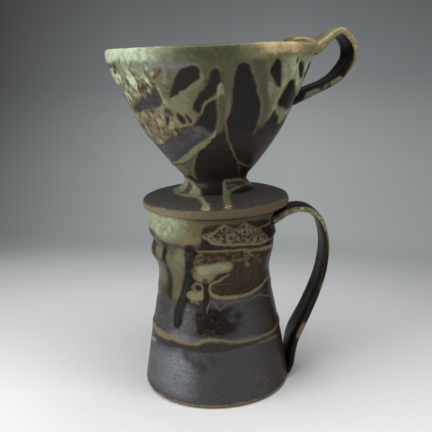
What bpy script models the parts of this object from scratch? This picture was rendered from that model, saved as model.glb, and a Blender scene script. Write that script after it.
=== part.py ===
"""A stoneware pour over dripper standing on the tall mug that it drips into.

The mug stands on the origin. The dripper is loose: it rests by its saucer on the mug's rim, with a
locating ring under the saucer inside the mug's mouth, and lifts straight off. Each of them is made
of thrown and pulled pieces that are luted together before firing, so each piece is an object here.
Heights on the mug are above the table. Heights on the dripper are above its saucer's underside.
"""

import math

import bmesh
import bpy

MM = 0.001
JOINT_GAP = 0.3 * MM  # left between neighbouring pieces
TURN_STEPS = 40
SPAN_STEPS = 2  # points made for each span of a smooth outline
RIM_STEPS = 4

# Mug, thrown on the wheel
MUG_RIM_TOP = 120.2 * MM
MUG_RIM_RADIUS = 38.6 * MM  # middle of the wall at the mouth
MUG_RIM_THICKNESS = 4.0 * MM
MUG_FOOT_RADIUS = 47.4 * MM
MUG_FLOOR_TOP = 7.0 * MM
MUG_OUTSIDE = [  # radius, height: a lip, two throwing ridges, a waist and a flared skirt
    (40.6, 118.2),
    (40.9, 113.0),
    (41.7, 105.0),
    (39.6, 98.0),
    (41.0, 91.0),
    (39.0, 84.5),
    (36.3, 77.0),
    (37.6, 65.0),
    (40.2, 50.0),
    (44.4, 27.0),
    (47.9, 7.0),
    (48.5, 2.2),
]
MUG_INSIDE = [  # radius, height, from the floor up
    (39.5, 7.2),
    (43.2, 11.0),
    (40.4, 27.0),
    (36.3, 50.0),
    (32.6, 76.0),
    (35.4, 92.0),
    (36.6, 112.0),
    (36.6, 118.2),
]
MUG_HANDLE_TURN = math.radians(3)  # from +X, away from the front
MUG_HANDLE = [  # distance from the axis, height, thickness, width: a pulled strap
    (32.0, 104.0, 6.0, 24.0),
    (40.0, 109.8, 5.6, 23.0),
    (48.0, 114.0, 4.6, 21.0),
    (56.0, 115.6, 4.3, 20.0),
    (62.5, 114.2, 4.3, 20.0),
    (67.8, 110.0, 4.3, 20.0),
    (71.5, 103.5, 4.3, 20.0),
    (73.9, 88.0, 4.3, 20.0),
    (70.8, 68.0, 4.3, 20.0),
    (62.6, 47.0, 4.3, 20.0),
    (53.3, 28.0, 5.0, 20.5),
    (50.3, 18.0, 5.2, 21.0),
    (49.3, 10.5, 5.0, 21.0),
    (47.4, 4.6, 4.6, 21.0),
    (44.5, 3.0, 4.4, 21.0),
]

# Dripper: where it stands on the mug
SAUCER_UNDERSIDE = MUG_RIM_TOP + JOINT_GAP
DRIPPER_OFFSET = 2.5 * MM  # it rests a little off the mug's axis

SAUCER_RADIUS = 47.2 * MM
SAUCER_EDGE_THICKNESS = 5.0 * MM
SAUCER_EDGE_ROUNDING = 1.5 * MM
SAUCER_BOSS_RADIUS = 25.5 * MM
SAUCER_BOSS_TOP = 9.5 * MM
BORE_RADIUS = 14.5 * MM  # through the saucer and up the hollow neck

RING_OUTER_RADIUS = 32.5 * MM
RING_WALL = 4.0 * MM
RING_DROP = 6.5 * MM  # how far it reaches below the saucer's underside
RING_ROUNDING = 1.2 * MM

CONE_RIM_TOP = 97.8 * MM
CONE_RIM_RADIUS = 61.0 * MM  # middle of the wall
CONE_RIM_THICKNESS = 4.2 * MM
CONE_OUTSIDE = [  # radius, height: a bowl-shaped cone, a narrow neck and its flared foot
    (63.1, 95.7),
    (62.6, 92.0),
    (59.9, 83.7),
    (53.3, 69.7),
    (44.3, 51.0),
    (31.6, 32.4),
    (23.0, 22.0),
    (19.6, 16.0),
    (21.3, 12.6),
]
NECK_FOOT_RADIUS = 24.5 * MM
OUTLET_RADIUS = 9.5 * MM
OUTLET_UNDERSIDE = 17.0 * MM
OUTLET_TOP = 22.4 * MM
CONE_INSIDE = [  # radius, height, from the floor round the outlet up
    (14.5, 23.4),
    (25.4, 32.6),
    (39.2, 51.2),
    (48.5, 69.9),
    (55.5, 83.9),
    (58.6, 92.4),
    (58.9, 95.7),
]
DRIPPER_HANDLE_TURN = math.radians(10)  # from +X, away from the front
DRIPPER_HANDLE = [  # distance from the axis, height, thickness, width: a pulled strap, thick at the rim
    (52.0, 87.0, 12.0, 26.0),
    (62.0, 92.5, 10.5, 25.0),
    (66.5, 96.0, 8.0, 24.0),
    (70.5, 99.4, 6.6, 23.5),
    (75.8, 103.1, 6.0, 23.0),
    (80.4, 104.7, 5.4, 23.0),
    (84.2, 102.7, 5.2, 23.0),
    (87.9, 98.0, 5.2, 23.0),
    (89.2, 92.9, 5.2, 23.0),
    (88.1, 86.8, 5.2, 23.0),
    (81.2, 78.0, 5.4, 23.0),
    (73.5, 73.0, 5.4, 23.0),
    (65.6, 69.9, 5.8, 23.0),
    (57.9, 67.0, 6.4, 23.5),
    (44.0, 61.0, 7.5, 24.0),
]
STRAP_SIDES = 14
STRAP_SQUARENESS = 0.62  # 1 is an ellipse, 0 a rectangle

OLIVE_GLAZE = (0.155, 0.150, 0.085, 1.0)
CHARCOAL_GLAZE = (0.045, 0.040, 0.034, 1.0)
BROWN_GLAZE = (0.060, 0.043, 0.027, 1.0)
BARE_CLAY = (0.230, 0.135, 0.070, 1.0)


def smooth_curve(points, steps=SPAN_STEPS):
    """Points along a Catmull-Rom curve through rows of numbers of any length."""
    made = []
    last = len(points) - 1
    for i in range(last):
        before, start, end, after = (points[min(max(k, 0), last)] for k in range(i - 1, i + 3))
        for step in range(steps):
            t = step / steps
            weights = (
                (-t + 2 * t**2 - t**3) / 2,
                (2 - 5 * t**2 + 3 * t**3) / 2,
                (t + 4 * t**2 - 3 * t**3) / 2,
                (t**3 - t**2) / 2,
            )
            rows = zip(before, start, end, after)
            made.append(tuple(sum(w * value for w, value in zip(weights, row)) for row in rows))
    made.append(tuple(points[-1]))
    return made


def in_metres(points):
    return [tuple(value * MM for value in point) for point in points]


def arc(centre, radius, start, end, steps):
    """Points on a circle in the radius-height plane, by angle in degrees from the +radius side."""
    angles = [math.radians(start + (end - start) * i / steps) for i in range(steps + 1)]
    return [(centre[0] + radius * math.cos(a), centre[1] + radius * math.sin(a)) for a in angles]


def round_rim(radius, top, thickness):
    """A lip's half circle, from the inside over the top to the outside."""
    half = thickness / 2
    return arc((radius, top - half), half, 180, 0, RIM_STEPS)


def offset_outline(points, distance):
    """An outline that runs down its outer side, moved outwards along its normals."""
    moved = []
    for i, (radius, height) in enumerate(points):
        start = points[max(i - 1, 0)]
        end = points[min(i + 1, len(points) - 1)]
        along = (end[0] - start[0], end[1] - start[1])
        length = math.hypot(*along)
        moved.append((radius - along[1] / length * distance, height + along[0] / length * distance))
    return moved


def add_object(name, mesh, collection, parent=None):
    obj = bpy.data.objects.new(name, mesh)
    obj.parent = parent
    collection.objects.link(obj)
    return obj


def turned(name, profile, collection, parent=None, closed=False):
    """A solid turned about its own Z axis. A closed profile makes a ring."""
    mesh = bpy.data.meshes.new(name)
    edges = [(i, i + 1) for i in range(len(profile) - 1)]
    if closed:
        edges.append((len(profile) - 1, 0))
    mesh.from_pydata([(radius, 0, height) for radius, height in profile], edges, [])
    obj = add_object(name, mesh, collection, parent)
    screw = obj.modifiers.new("Turn", "SCREW")
    screw.steps = TURN_STEPS
    screw.render_steps = TURN_STEPS
    screw.use_merge_vertices = True
    screw.merge_threshold = 0.01 * MM
    screw.use_smooth_shade = True
    return obj


def strap_section(thickness, width):
    """A rounded bar's outline, as (outwards, sideways) points."""
    section = []
    for i in range(STRAP_SIDES):
        angle = 2 * math.pi * (i + 0.5) / STRAP_SIDES
        across, along = math.cos(angle), math.sin(angle)
        outwards = math.copysign(abs(across) ** STRAP_SQUARENESS, across) * thickness / 2
        sideways = math.copysign(abs(along) ** STRAP_SQUARENESS, along) * width / 2
        section.append((outwards, sideways))
    return section


def strap(name, stations, turn, collection, parent=None):
    """A pulled handle: a loft of rounded sections along a curve in a vertical plane through the axis."""
    path = smooth_curve(in_metres(stations))
    bm = bmesh.new()
    rings = []
    for i, (reach, height, thickness, width) in enumerate(path):
        before = path[max(i - 1, 0)]
        after = path[min(i + 1, len(path) - 1)]
        heading = math.atan2(after[1] - before[1], after[0] - before[0])
        ring = []
        for outwards, sideways in strap_section(thickness, width):
            out = reach - math.sin(heading) * outwards
            up = height + math.cos(heading) * outwards
            x = out * math.cos(turn) - sideways * math.sin(turn)
            y = out * math.sin(turn) + sideways * math.cos(turn)
            ring.append(bm.verts.new((x, y, up)))
        rings.append(ring)
    for first, second in zip(rings, rings[1:]):
        for i in range(STRAP_SIDES):
            j = (i + 1) % STRAP_SIDES
            bm.faces.new((first[i], first[j], second[j], second[i]))
    bm.faces.new(rings[0])
    bm.faces.new(rings[-1])
    bmesh.ops.recalc_face_normals(bm, faces=bm.faces)
    mesh = bpy.data.meshes.new(name)
    bm.to_mesh(mesh)
    bm.free()
    mesh.shade_smooth()
    mesh.set_sharp_from_angle(angle=math.radians(50))
    return add_object(name, mesh, collection, parent)


def wall_cutter(name, outline, collection, parent=None):
    """The pot filled solid and one gap larger, for the end of a strap to be cut by."""
    grown = offset_outline(outline, JOINT_GAP)
    profile = [(0, grown[0][1]), *grown, (0, grown[-1][1])]
    cutter = turned(name, profile, collection, parent)
    cutter.hide_render = True
    cutter.display_type = "WIRE"
    return cutter


def cut(obj, cutter):
    boolean = obj.modifiers.new("Cut", "BOOLEAN")
    boolean.operation = "DIFFERENCE"
    boolean.solver = "EXACT"
    boolean.object = cutter


def give_material(obj, name, colour, roughness):
    material = bpy.data.materials.new(name)
    material.use_nodes = True
    shader = material.node_tree.nodes["Principled BSDF"]
    shader.inputs["Base Color"].default_value = colour
    shader.inputs["Roughness"].default_value = roughness
    shader.inputs["Metallic"].default_value = 0.0
    obj.data.materials.append(material)


def mug_rim():
    return round_rim(MUG_RIM_RADIUS, MUG_RIM_TOP, MUG_RIM_THICKNESS)


def mug_body(collection):
    inside = smooth_curve(in_metres(MUG_INSIDE))
    outside = smooth_curve(in_metres(MUG_OUTSIDE))
    floor = [(0, MUG_FLOOR_TOP)]
    foot = [(MUG_FOOT_RADIUS, 0), (0, 0)]
    profile = floor + inside + mug_rim()[1:-1] + outside + foot
    obj = turned("mug_body", profile, collection)
    give_material(obj, "mug_body_glaze", CHARCOAL_GLAZE, 0.35)


def mug_handle(collection, cutters):
    outline = mug_rim()[RIM_STEPS // 2 : -1] + smooth_curve(in_metres(MUG_OUTSIDE))
    outline.append((MUG_FOOT_RADIUS, 0))
    obj = strap("mug_handle", MUG_HANDLE, MUG_HANDLE_TURN, collection)
    cut(obj, wall_cutter("mug_wall_cutter", outline, cutters))
    give_material(obj, "mug_handle_glaze", BROWN_GLAZE, 0.35)


def dripper_saucer(collection, parent):
    rounding = SAUCER_EDGE_ROUNDING
    corner = SAUCER_RADIUS - rounding
    profile = [(BORE_RADIUS, SAUCER_BOSS_TOP), (SAUCER_BOSS_RADIUS, SAUCER_BOSS_TOP)]
    profile += arc((corner, SAUCER_EDGE_THICKNESS - rounding), rounding, 90, 0, 3)
    profile += arc((corner, rounding), rounding, 0, -90, 3)
    profile.append((BORE_RADIUS, 0))
    obj = turned("dripper_saucer", profile, collection, parent, closed=True)
    give_material(obj, "saucer_glaze", CHARCOAL_GLAZE, 0.5)


def locating_ring(collection, parent):
    top = -JOINT_GAP
    bottom = -RING_DROP
    outer = RING_OUTER_RADIUS
    inner = RING_OUTER_RADIUS - RING_WALL
    rounding = RING_ROUNDING
    profile = [(inner, top), (outer, top)]
    profile += arc((outer - rounding, bottom + rounding), rounding, 0, -90, 3)
    profile += arc((inner + rounding, bottom + rounding), rounding, -90, -180, 3)
    obj = turned("locating_ring", profile, collection, parent, closed=True)
    give_material(obj, "ring_bare_clay", BARE_CLAY, 0.85)


def cone_rim():
    return round_rim(CONE_RIM_RADIUS, CONE_RIM_TOP, CONE_RIM_THICKNESS)


def dripper_cone(collection, parent):
    outside = smooth_curve(in_metres(CONE_OUTSIDE))
    inside = smooth_curve(in_metres(CONE_INSIDE))
    foot = SAUCER_BOSS_TOP + JOINT_GAP
    neck = [(NECK_FOOT_RADIUS, foot), (BORE_RADIUS, foot), (BORE_RADIUS, OUTLET_UNDERSIDE)]
    outlet = [(OUTLET_RADIUS, OUTLET_UNDERSIDE), (OUTLET_RADIUS, OUTLET_TOP)]
    profile = cone_rim()[1:-1] + outside + neck + outlet + inside
    obj = turned("dripper_cone", profile, collection, parent, closed=True)
    give_material(obj, "cone_glaze", OLIVE_GLAZE, 0.3)


def dripper_handle(collection, cutters, parent):
    outline = cone_rim()[RIM_STEPS // 2 : -1] + smooth_curve(in_metres(CONE_OUTSIDE))
    obj = strap("dripper_handle", DRIPPER_HANDLE, DRIPPER_HANDLE_TURN, collection, parent)
    cut(obj, wall_cutter("cone_wall_cutter", outline, cutters, parent))
    give_material(obj, "dripper_handle_glaze", OLIVE_GLAZE, 0.35)


def new_collection(name):
    collection = bpy.data.collections.new(name)
    bpy.context.scene.collection.children.link(collection)
    return collection


def main():
    for obj in list(bpy.data.objects):
        bpy.data.objects.remove(obj, do_unlink=True)
    pieces = new_collection("pour_over_dripper")
    cutters = new_collection("cutters")
    mug_body(pieces)
    mug_handle(pieces, cutters)
    lift = add_object("dripper_lift_axis", None, pieces)
    lift.location = (DRIPPER_OFFSET, 0, SAUCER_UNDERSIDE)
    dripper_saucer(pieces, lift)
    locating_ring(pieces, lift)
    dripper_cone(pieces, lift)
    dripper_handle(pieces, cutters, lift)


main()
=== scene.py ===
"""Looks for the stoneware pour over dripper and the tall mug that it stands on.

Each piece of clay is one dense mesh. Its glaze is laid on in layers, as a potter pours it: shapes given
as (front azimuth in degrees, height in mm) set how thick the glaze lies, and the thickness raises the
surface and drives one shared glaze material through mesh attributes.
"""

import math
from types import SimpleNamespace

import bpy
import numpy as np
from mathutils import Matrix, Vector


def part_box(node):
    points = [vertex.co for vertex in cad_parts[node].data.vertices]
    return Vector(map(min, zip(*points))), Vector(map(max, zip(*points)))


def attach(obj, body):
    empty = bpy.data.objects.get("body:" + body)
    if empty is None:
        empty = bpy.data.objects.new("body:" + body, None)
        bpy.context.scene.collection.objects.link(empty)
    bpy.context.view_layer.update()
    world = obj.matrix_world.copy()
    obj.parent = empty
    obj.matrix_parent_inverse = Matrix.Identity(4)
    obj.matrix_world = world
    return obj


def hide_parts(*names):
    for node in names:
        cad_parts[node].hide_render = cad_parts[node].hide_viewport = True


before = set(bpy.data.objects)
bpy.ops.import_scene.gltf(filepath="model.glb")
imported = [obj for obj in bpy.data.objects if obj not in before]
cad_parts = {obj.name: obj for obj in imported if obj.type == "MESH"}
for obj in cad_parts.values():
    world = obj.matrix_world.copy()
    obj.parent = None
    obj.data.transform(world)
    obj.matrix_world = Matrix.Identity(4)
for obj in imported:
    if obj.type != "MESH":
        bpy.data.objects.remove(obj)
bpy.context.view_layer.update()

MM = 0.001
CONE_COLUMNS, SAUCER_COLUMNS, MUG_COLUMNS = ((440, 360, 372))
RING_COLUMNS = 160
FRONT_SHARE = 0.58  # of the columns, over the front half

# ---------------------------------------------------------------- places, all from the frame, in mm
def box_mm(node):
    """The CAD piece's lowest and highest corner."""
    return np.array([tuple(corner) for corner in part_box(node)]) / MM


SAUCER_LOW, SAUCER_HIGH = box_mm("dripper_saucer")
RING_LOW, RING_HIGH = box_mm("locating_ring")
DRIPPER_X = (SAUCER_LOW[0] + SAUCER_HIGH[0]) / 2
SAUCER_UNDER = SAUCER_LOW[2]
SAUCER_RADIUS = SAUCER_HIGH[0] - DRIPPER_X
RING_RADIUS = (RING_HIGH[0] - RING_LOW[0]) / 2
RIM_TOP = box_mm("dripper_cone")[1, 2]
MUG_RIM_TOP = box_mm("mug_body")[1, 2]

# ---------------------------------------------------------------- outlines, (radius, height) in mm
BORE, OUTLET = 14.5, 9.5  # radii of the hollow neck and of the hole in the cone's floor
SAUCER_LAYOUT = 155.2  # on the saucer's top the glaze's height is this less the radius
CONE_INSIDE_FROM, CONE_BARE_FROM, MUG_INSIDE_FROM = 224, 322, 122.5  # heights of the glaze past the rims
CONE_OUTSIDE = [
    (63.15, 216.0), (62.6, 212.0), (59.9, 204.0), (53.3, 190.0), (44.4, 171.5), (38.0, 161.5),
    (31.6, 152.9), (25.4, 145.3), (20.9, 140.4), (19.6, 137.0), (20.1, 134.6), (22.0, 132.0), (25.2, 129.7),
]
CONE_INSIDE = [
    (14.5, 143.8), (19.5, 147.6), (25.4, 153.1), (32.3, 161.5), (39.2, 171.7), (48.5, 190.4),
    (55.5, 204.4), (58.5, 212.4), (58.9, 216.0),
]
SAUCER_TOP = [(25.0, 130.2), (30.0, 129.0), (38.0, 127.6), (44.6, 126.1), (46.4, 125.3)]
MUG_BASE = [
    (40.3, 118.0), (39.3, 110.0), (38.8, 100.0), (38.2, 92.0), (37.3, 85.0), (36.3, 77.0),
    (37.5, 65.0), (40.2, 50.0), (44.4, 27.0), (47.8, 7.0), (48.4, 2.4), (47.4, 0.3),
]
MUG_INSIDE = [
    (40.0, 7.3), (43.0, 11.0), (40.4, 27.0), (36.3, 50.0), (32.6, 76.0), (35.4, 92.0),
    (36.6, 112.0), (36.7, 118.2),
]


# ---------------------------------------------------------------- smooth noise, the same on every run
class Noise:
    """Smooth value noise on a wrapped lattice, between -1 and 1."""

    SIZE = 32

    def __init__(self, seed):
        self.lattice = np.random.default_rng(seed).uniform(-1, 1, (self.SIZE,) * 3)

    def layer(self, points):
        cell = np.floor(points).astype(int)
        t = points - cell
        t = t * t * t * (t * (t * 6 - 15) + 10)
        total = np.zeros(len(points))
        for corner in np.ndindex(2, 2, 2):
            index = (cell + corner) % self.SIZE
            weight = np.prod(np.where(corner, t, 1 - t), axis=1)
            total += weight * self.lattice[index[:, 0], index[:, 1], index[:, 2]]
        return total

    def __call__(self, points, size, octaves=2, stretch=(1, 1, 1)):
        points = points / (size * np.array(stretch))
        total, weight = 0.0, 1.0
        for _ in range(octaves):
            total = total + weight * self.layer(points)
            points = points * 2.03 + 7.7
            weight *= 0.5
        return total / (2 - 2 * weight)


def smoothstep(low, high, x):
    t = np.clip((x - low) / (high - low), 0, 1)
    return t * t * (3 - 2 * t)


def window(x, rise, risen, fall, fallen):
    """1 from risen to fall, and 0 before rise and after fallen."""
    return smoothstep(rise, risen, x) * (1 - smoothstep(fall, fallen, x))


def hill(x, centre, width):
    return np.exp(-(((x - centre) / width) ** 2))


def across(line, x):
    """The line's second number where its first one is x."""
    return np.interp(x, [point[0] for point in line], [point[1] for point in line])


def curve_through(points, steps):
    """Points along a Catmull-Rom curve through rows of numbers of any length."""
    rows = np.array(points, float)
    padded = np.vstack([2 * rows[0] - rows[1], rows, 2 * rows[-1] - rows[-2]])
    made = []
    for before, start, end, after in zip(padded, padded[1:], padded[2:], padded[3:]):
        for t in np.arange(steps) / steps:
            made.append(
                start
                + t * (end - before) / 2
                + t**2 * (2 * before - 5 * start + 4 * end - after) / 2
                + t**3 * (3 * start - before - 3 * end + after) / 2
            )
    made.append(rows[-1])
    return np.array(made)


def closed_curve(points, steps=4):
    rows = np.array(points, float)
    ring = np.vstack([rows[-1:], rows, rows[:2]])
    made = curve_through(ring, steps)
    return made[steps:-steps]


def evenly(points, spacing):
    """The same path with points about spacing apart, and the ends kept."""
    points = np.array(points, float)
    along = np.r_[0, np.cumsum(np.linalg.norm(np.diff(points, axis=0), axis=1))]
    count = max(2, int(round(along[-1] / spacing)) + 1)
    at = np.linspace(0, along[-1], count)
    return np.stack([np.interp(at, along, column) for column in points.T], axis=1)


# ---------------------------------------------------------------- glaze fields
# what a new layer hides unless it says otherwise
COVERED = {"rust": 0.0, "blue": 0.0, "crust": 0.0, "satin": 0.0, "moss": 0.0}


class Surface:
    """Points of one glazed piece, in mm, with the azimuth and height that the glaze is laid out in.

    azimuth runs from -90 at the left over 0 at the front to 90 at the right. reach is mm per degree of
    azimuth and slope is mm of clay per mm of height. lift is how far the glaze raises the surface, in mm.
    """

    NAMES = ("flow", "blue", "rust", "crust", "satin", "raw", "tan", "moss")

    def __init__(self, points, azimuth, height, radius, slope=1.0):
        self.points = points
        self.noise = Noise(5)
        self.azimuth = azimuth
        self.height = height
        self.reach = np.radians(1) * radius
        self.slope = slope * np.ones(len(points))
        self.fields = {name: np.zeros(len(points)) for name in self.NAMES}
        self.lift = np.zeros(len(points))

    def __getitem__(self, name):
        return self.fields[name]

    def __setitem__(self, name, values):
        self.fields[name] = values

    def grain(self, shift, size, octaves=2, stretch=(1, 1, 1)):
        """Noise over the piece, another one for each shift."""
        return self.noise(self.points + shift, size, octaves, stretch)

    def repeat_behind(self):
        """The back repeats the front, with a large warp, so the glaze has no seam."""
        turned = np.abs(self.azimuth)
        depth = smoothstep(90, 132, turned)
        folded = np.where(turned > 90, np.sign(self.azimuth) * 180 - self.azimuth, self.azimuth)
        self.azimuth = folded + depth * (18 * self.grain(31, 34, 1) + 11 * self.grain(57, 15, 2))
        self.height = self.height + depth * 8 * self.grain(83, 22, 2)

    def wobble(self, warp=0.8):
        """Makes the outlines that are laid on later a little uneven."""
        sideways = warp * (self.grain(0, 5.5, 2) + 0.45 * self.grain(11, 1.9, 1))
        upwards = warp * (self.grain(19, 6.5, 2) + 0.45 * self.grain(23, 2.1, 1))
        self.azimuth = self.azimuth + sideways / self.reach
        self.height = self.height + upwards / self.slope

    def _nearby(self, path, margin):
        reach = margin / self.reach
        found = self.azimuth > path[:, 0].min() - reach
        found &= self.azimuth < path[:, 0].max() + reach
        found &= self.height > path[:, 1].min() - margin
        found &= self.height < path[:, 1].max() + margin
        return np.flatnonzero(found)

    def _distance(self, near, path):
        """mm from each point to the path, and the path's third column at the nearest place."""
        best = np.full(len(near), 1e9)
        width = np.zeros(len(near))
        for start, end in zip(path, path[1:]):
            ax = (start[0] - self.azimuth[near]) * self.reach[near]
            ay = (start[1] - self.height[near]) * self.slope[near]
            bx = (end[0] - self.azimuth[near]) * self.reach[near] - ax
            by = (end[1] - self.height[near]) * self.slope[near] - ay
            t = np.clip(-(ax * bx + ay * by) / np.maximum(bx * bx + by * by, 1e-9), 0, 1)
            distance = np.hypot(ax + t * bx, ay + t * by)
            closer = distance < best
            best[closer] = distance[closer]
            if len(start) > 2:
                width[closer] = (start[2] + t * (end[2] - start[2]))[closer]
        return best, width

    def _inside(self, near, loop):
        inside = np.zeros(len(near), bool)
        x, y = self.azimuth[near], self.height[near]
        for (ax, ay), (bx, by) in zip(loop, np.roll(loop, -1, axis=0)):
            crosses = (ay > y) != (by > y)
            if ay != by:
                inside ^= crosses & (x < (bx - ax) * (y - ay) / (by - ay) + ax)
        return inside

    def blob(self, points, edge=0.8, lift=0.0, rim=0.0, **values):
        """Lays a patch on: its smoothed outline, the values inside it, and a tan rim."""
        loop = closed_curve(points)
        near = self._nearby(loop, 6)
        ring = np.vstack([loop, loop[:1]])
        distance, _ = self._distance(near, ring)
        signed = np.where(self._inside(near, loop), -distance, distance)
        self._lay(near, signed, edge, lift, rim, values)

    def stroke(self, points, edge=0.6, lift=0.0, rim=0.0, **values):
        """Lays a run or a line on: (azimuth, height, width in mm) points along it."""
        path = curve_through(points, 5)
        near = self._nearby(path, 8)
        distance, width = self._distance(near, path)
        self._lay(near, distance - width / 2, edge, lift, rim, values)

    def _lay(self, near, signed, edge, lift, rim, values):
        mask = 1 - smoothstep(-edge, edge, signed)
        for name, value in {**COVERED, **values}.items():
            field = self.fields[name]
            field[near] += mask * (value - field[near])
        self.lift[near] += mask * lift
        if rim:
            self.fields["tan"][near] = np.maximum(self.fields["tan"][near], rim * hill(signed, 0.2, 0.75))

    def mottle(self, name, amount, size, octaves=2, stretch=(1, 1, 1), shift=0.0, mask=1.0):
        change = amount * self.grain(shift, size, octaves, stretch)
        self.fields[name] += change * mask


# ---------------------------------------------------------------- meshes
def link(name, data):
    """An object in the scene with this mesh, light or camera."""
    obj = bpy.data.objects.new(name, data)
    bpy.context.scene.collection.objects.link(obj)
    return obj


def write_mesh(name, points, faces, surface):
    """An object with these points in mm, its faces turned outwards, and the glaze fields as attributes."""
    mesh = bpy.data.meshes.new(name)
    corners = points[faces[:, :3]]
    volume = np.einsum("ij,ij->i", corners[:, 0], np.cross(corners[:, 1], corners[:, 2])).sum()
    if volume < 0:
        faces = faces[:, ::-1]
    triangles = faces[:, 0] == faces[:, 3]
    quads = [tuple(row) for row in faces[~triangles].tolist()]
    threes = [tuple(row[1:]) for row in faces[triangles].tolist()]
    mesh.from_pydata((points * MM).tolist(), [], quads + threes)
    mesh.shade_smooth()
    for field, values in surface.fields.items():
        attribute = mesh.attributes.new(field, "FLOAT", "POINT")
        attribute.data.foreach_set("value", np.clip(values, 0, 1).astype(np.float32))
    return link(name, mesh)


def close_ends(points, columns, surface):
    """Adds a point in the middle of the first row and of the last one, and the fans that reach them."""
    count, base = len(points), len(points) - columns
    left = np.arange(columns)
    right = (left + 1) % columns
    middle = np.full(columns, count)
    start = np.stack([middle, middle, right, left], axis=1)
    end = np.stack([middle + 1, middle + 1, base + left, base + right], axis=1)
    for field, values in surface.fields.items():
        surface.fields[field] = np.r_[values, values[0], values[-1]]
    middles = [points[:columns].mean(axis=0), points[-columns:].mean(axis=0)]
    return np.vstack([points, middles]), np.vstack([start, end])


def skin(name, surface, normals, rows, columns, closed):
    """The object of a grid of points raised by their glaze. closed joins the last row to the first."""
    points = surface.points + normals * surface.lift[:, None]
    i = np.arange(rows if closed else rows - 1)[:, None]
    j = np.arange(columns)[None, :]
    below, right = (i + 1) % rows, (j + 1) % columns
    corners = (i * columns + j, i * columns + right, below * columns + right, below * columns + j)
    faces = np.stack([corner.ravel() for corner in corners], axis=1)
    if not closed:
        points, fans = close_ends(points, columns, surface)
        faces = np.vstack([faces, fans])
    return write_mesh(name, points, faces, surface)


class Turning:
    """An outline turned about a vertical axis: rows of points, finer at the front than at the back.

    Each row has a height for the glaze to be laid out by. It is the real height outside the piece, and
    it goes on with the distance along the clay over the rim and inside.
    """

    def __init__(self, columns, axis):
        fine = int(columns * FRONT_SHARE)
        front = np.linspace(-90, 90, fine, endpoint=False)
        back = np.linspace(90, 270, columns - fine, endpoint=False)
        self.azimuth = np.r_[front, back]
        self.azimuth[self.azimuth > 180] -= 360
        self.axis = axis
        self.outline = np.zeros((0, 2))
        self.layout = np.zeros(0)

    def along(self, points, spacing, layout="height", smooth=6):
        """Adds a stretch of outline.

        layout is "height", "onward", a first and last value, or a function of the radius.
        """
        path = curve_through(points, smooth) if smooth > 1 else np.array(points, float)
        path = evenly(path, spacing)
        if len(self.outline) and np.allclose(path[0], self.outline[-1], atol=1e-3):
            path = path[1:]
        if layout == "height":
            rows = path[:, 1]
        elif layout == "onward":
            steps = np.linalg.norm(np.diff(np.vstack([self.outline[-1:], path]), axis=0), axis=1)
            rows = self.layout[-1] + np.cumsum(steps)
        elif isinstance(layout, tuple):
            rows = np.linspace(*layout, len(path))
        else:
            rows = layout(path[:, 0])
        self.outline = np.vstack([self.outline, path])
        self.layout = np.r_[self.layout, rows]

    def surface(self):
        """The undecorated Surface. The normals that the relief is added along are kept here."""
        rows, columns = len(self.outline), len(self.azimuth)
        radius = np.repeat(self.outline[:, 0], columns)
        height = np.repeat(self.outline[:, 1], columns)
        azimuth = np.tile(self.azimuth, rows)
        turn = np.radians(azimuth)
        x, y = radius * np.sin(turn) + self.axis(height), -radius * np.cos(turn)
        points = np.stack([x, y, height], axis=1)
        tangent = np.gradient(self.outline, axis=0)
        length = np.maximum(np.linalg.norm(tangent, axis=1), 1e-9)
        outward = np.repeat(tangent[:, 1] / length, columns)
        upward = np.repeat(-tangent[:, 0] / length, columns)
        self.normals = np.stack([outward * np.sin(turn), -outward * np.cos(turn), upward], axis=1)
        slope = np.repeat(length / np.maximum(np.abs(np.gradient(self.layout)), 1e-3), columns)
        layout = np.repeat(self.layout, columns)
        surface = Surface(points, azimuth, layout, np.maximum(radius, 5.0), np.clip(slope, 1, 3))
        surface.repeat_behind()
        surface.wobble()
        return surface

    def build(self, name, surface, closed):
        """The object. An outline that isn't closed starts and ends on the axis, at one point each."""
        return skin(name, surface, self.normals, len(self.outline), len(self.azimuth), closed)


# ---------------------------------------------------------------- cone
def cone_axis(height):
    """The cone leans a little on its neck."""
    return DRIPPER_X + 0.7 - 1.6 * np.clip((height - 136) / (RIM_TOP - 136), 0, 1)


def half_circle(radius, top, thickness, steps=12):
    """A lip from the outside over the top to the inside."""
    turn = np.linspace(0, np.pi, steps)
    half = thickness / 2
    return np.stack([radius + half * np.cos(turn), top - half + half * np.sin(turn)], axis=1)


def cone_outline(turning):
    outside = CONE_OUTSIDE[::-1]
    turning.along([(24.5, 130.0)] + outside[1:], 0.62)
    turning.along(half_circle(61.0, RIM_TOP, 4.2), 0.55, "onward")
    turning.along(CONE_INSIDE[::-1], 2.0, "onward")
    floor_top, floor_low = SAUCER_UNDER + 22.4, SAUCER_UNDER + 17.0
    turning.along([(BORE, 143.8), (11.0, floor_top + 0.1), (OUTLET, floor_top - 0.6)], 1.0, "onward", 3)
    turning.along([(OUTLET, floor_top - 0.6), (OUTLET, floor_low)], 1.2, "onward", 1)
    turning.along([(OUTLET, floor_low), (BORE, floor_low)], 1.5, "onward", 1)
    turning.along([(BORE, floor_low), (BORE, 130.0)], 1.8, "onward", 1)
    turning.along([(BORE, 130.0), (23.5, 130.0)], 1.8, "onward", 1)


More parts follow.
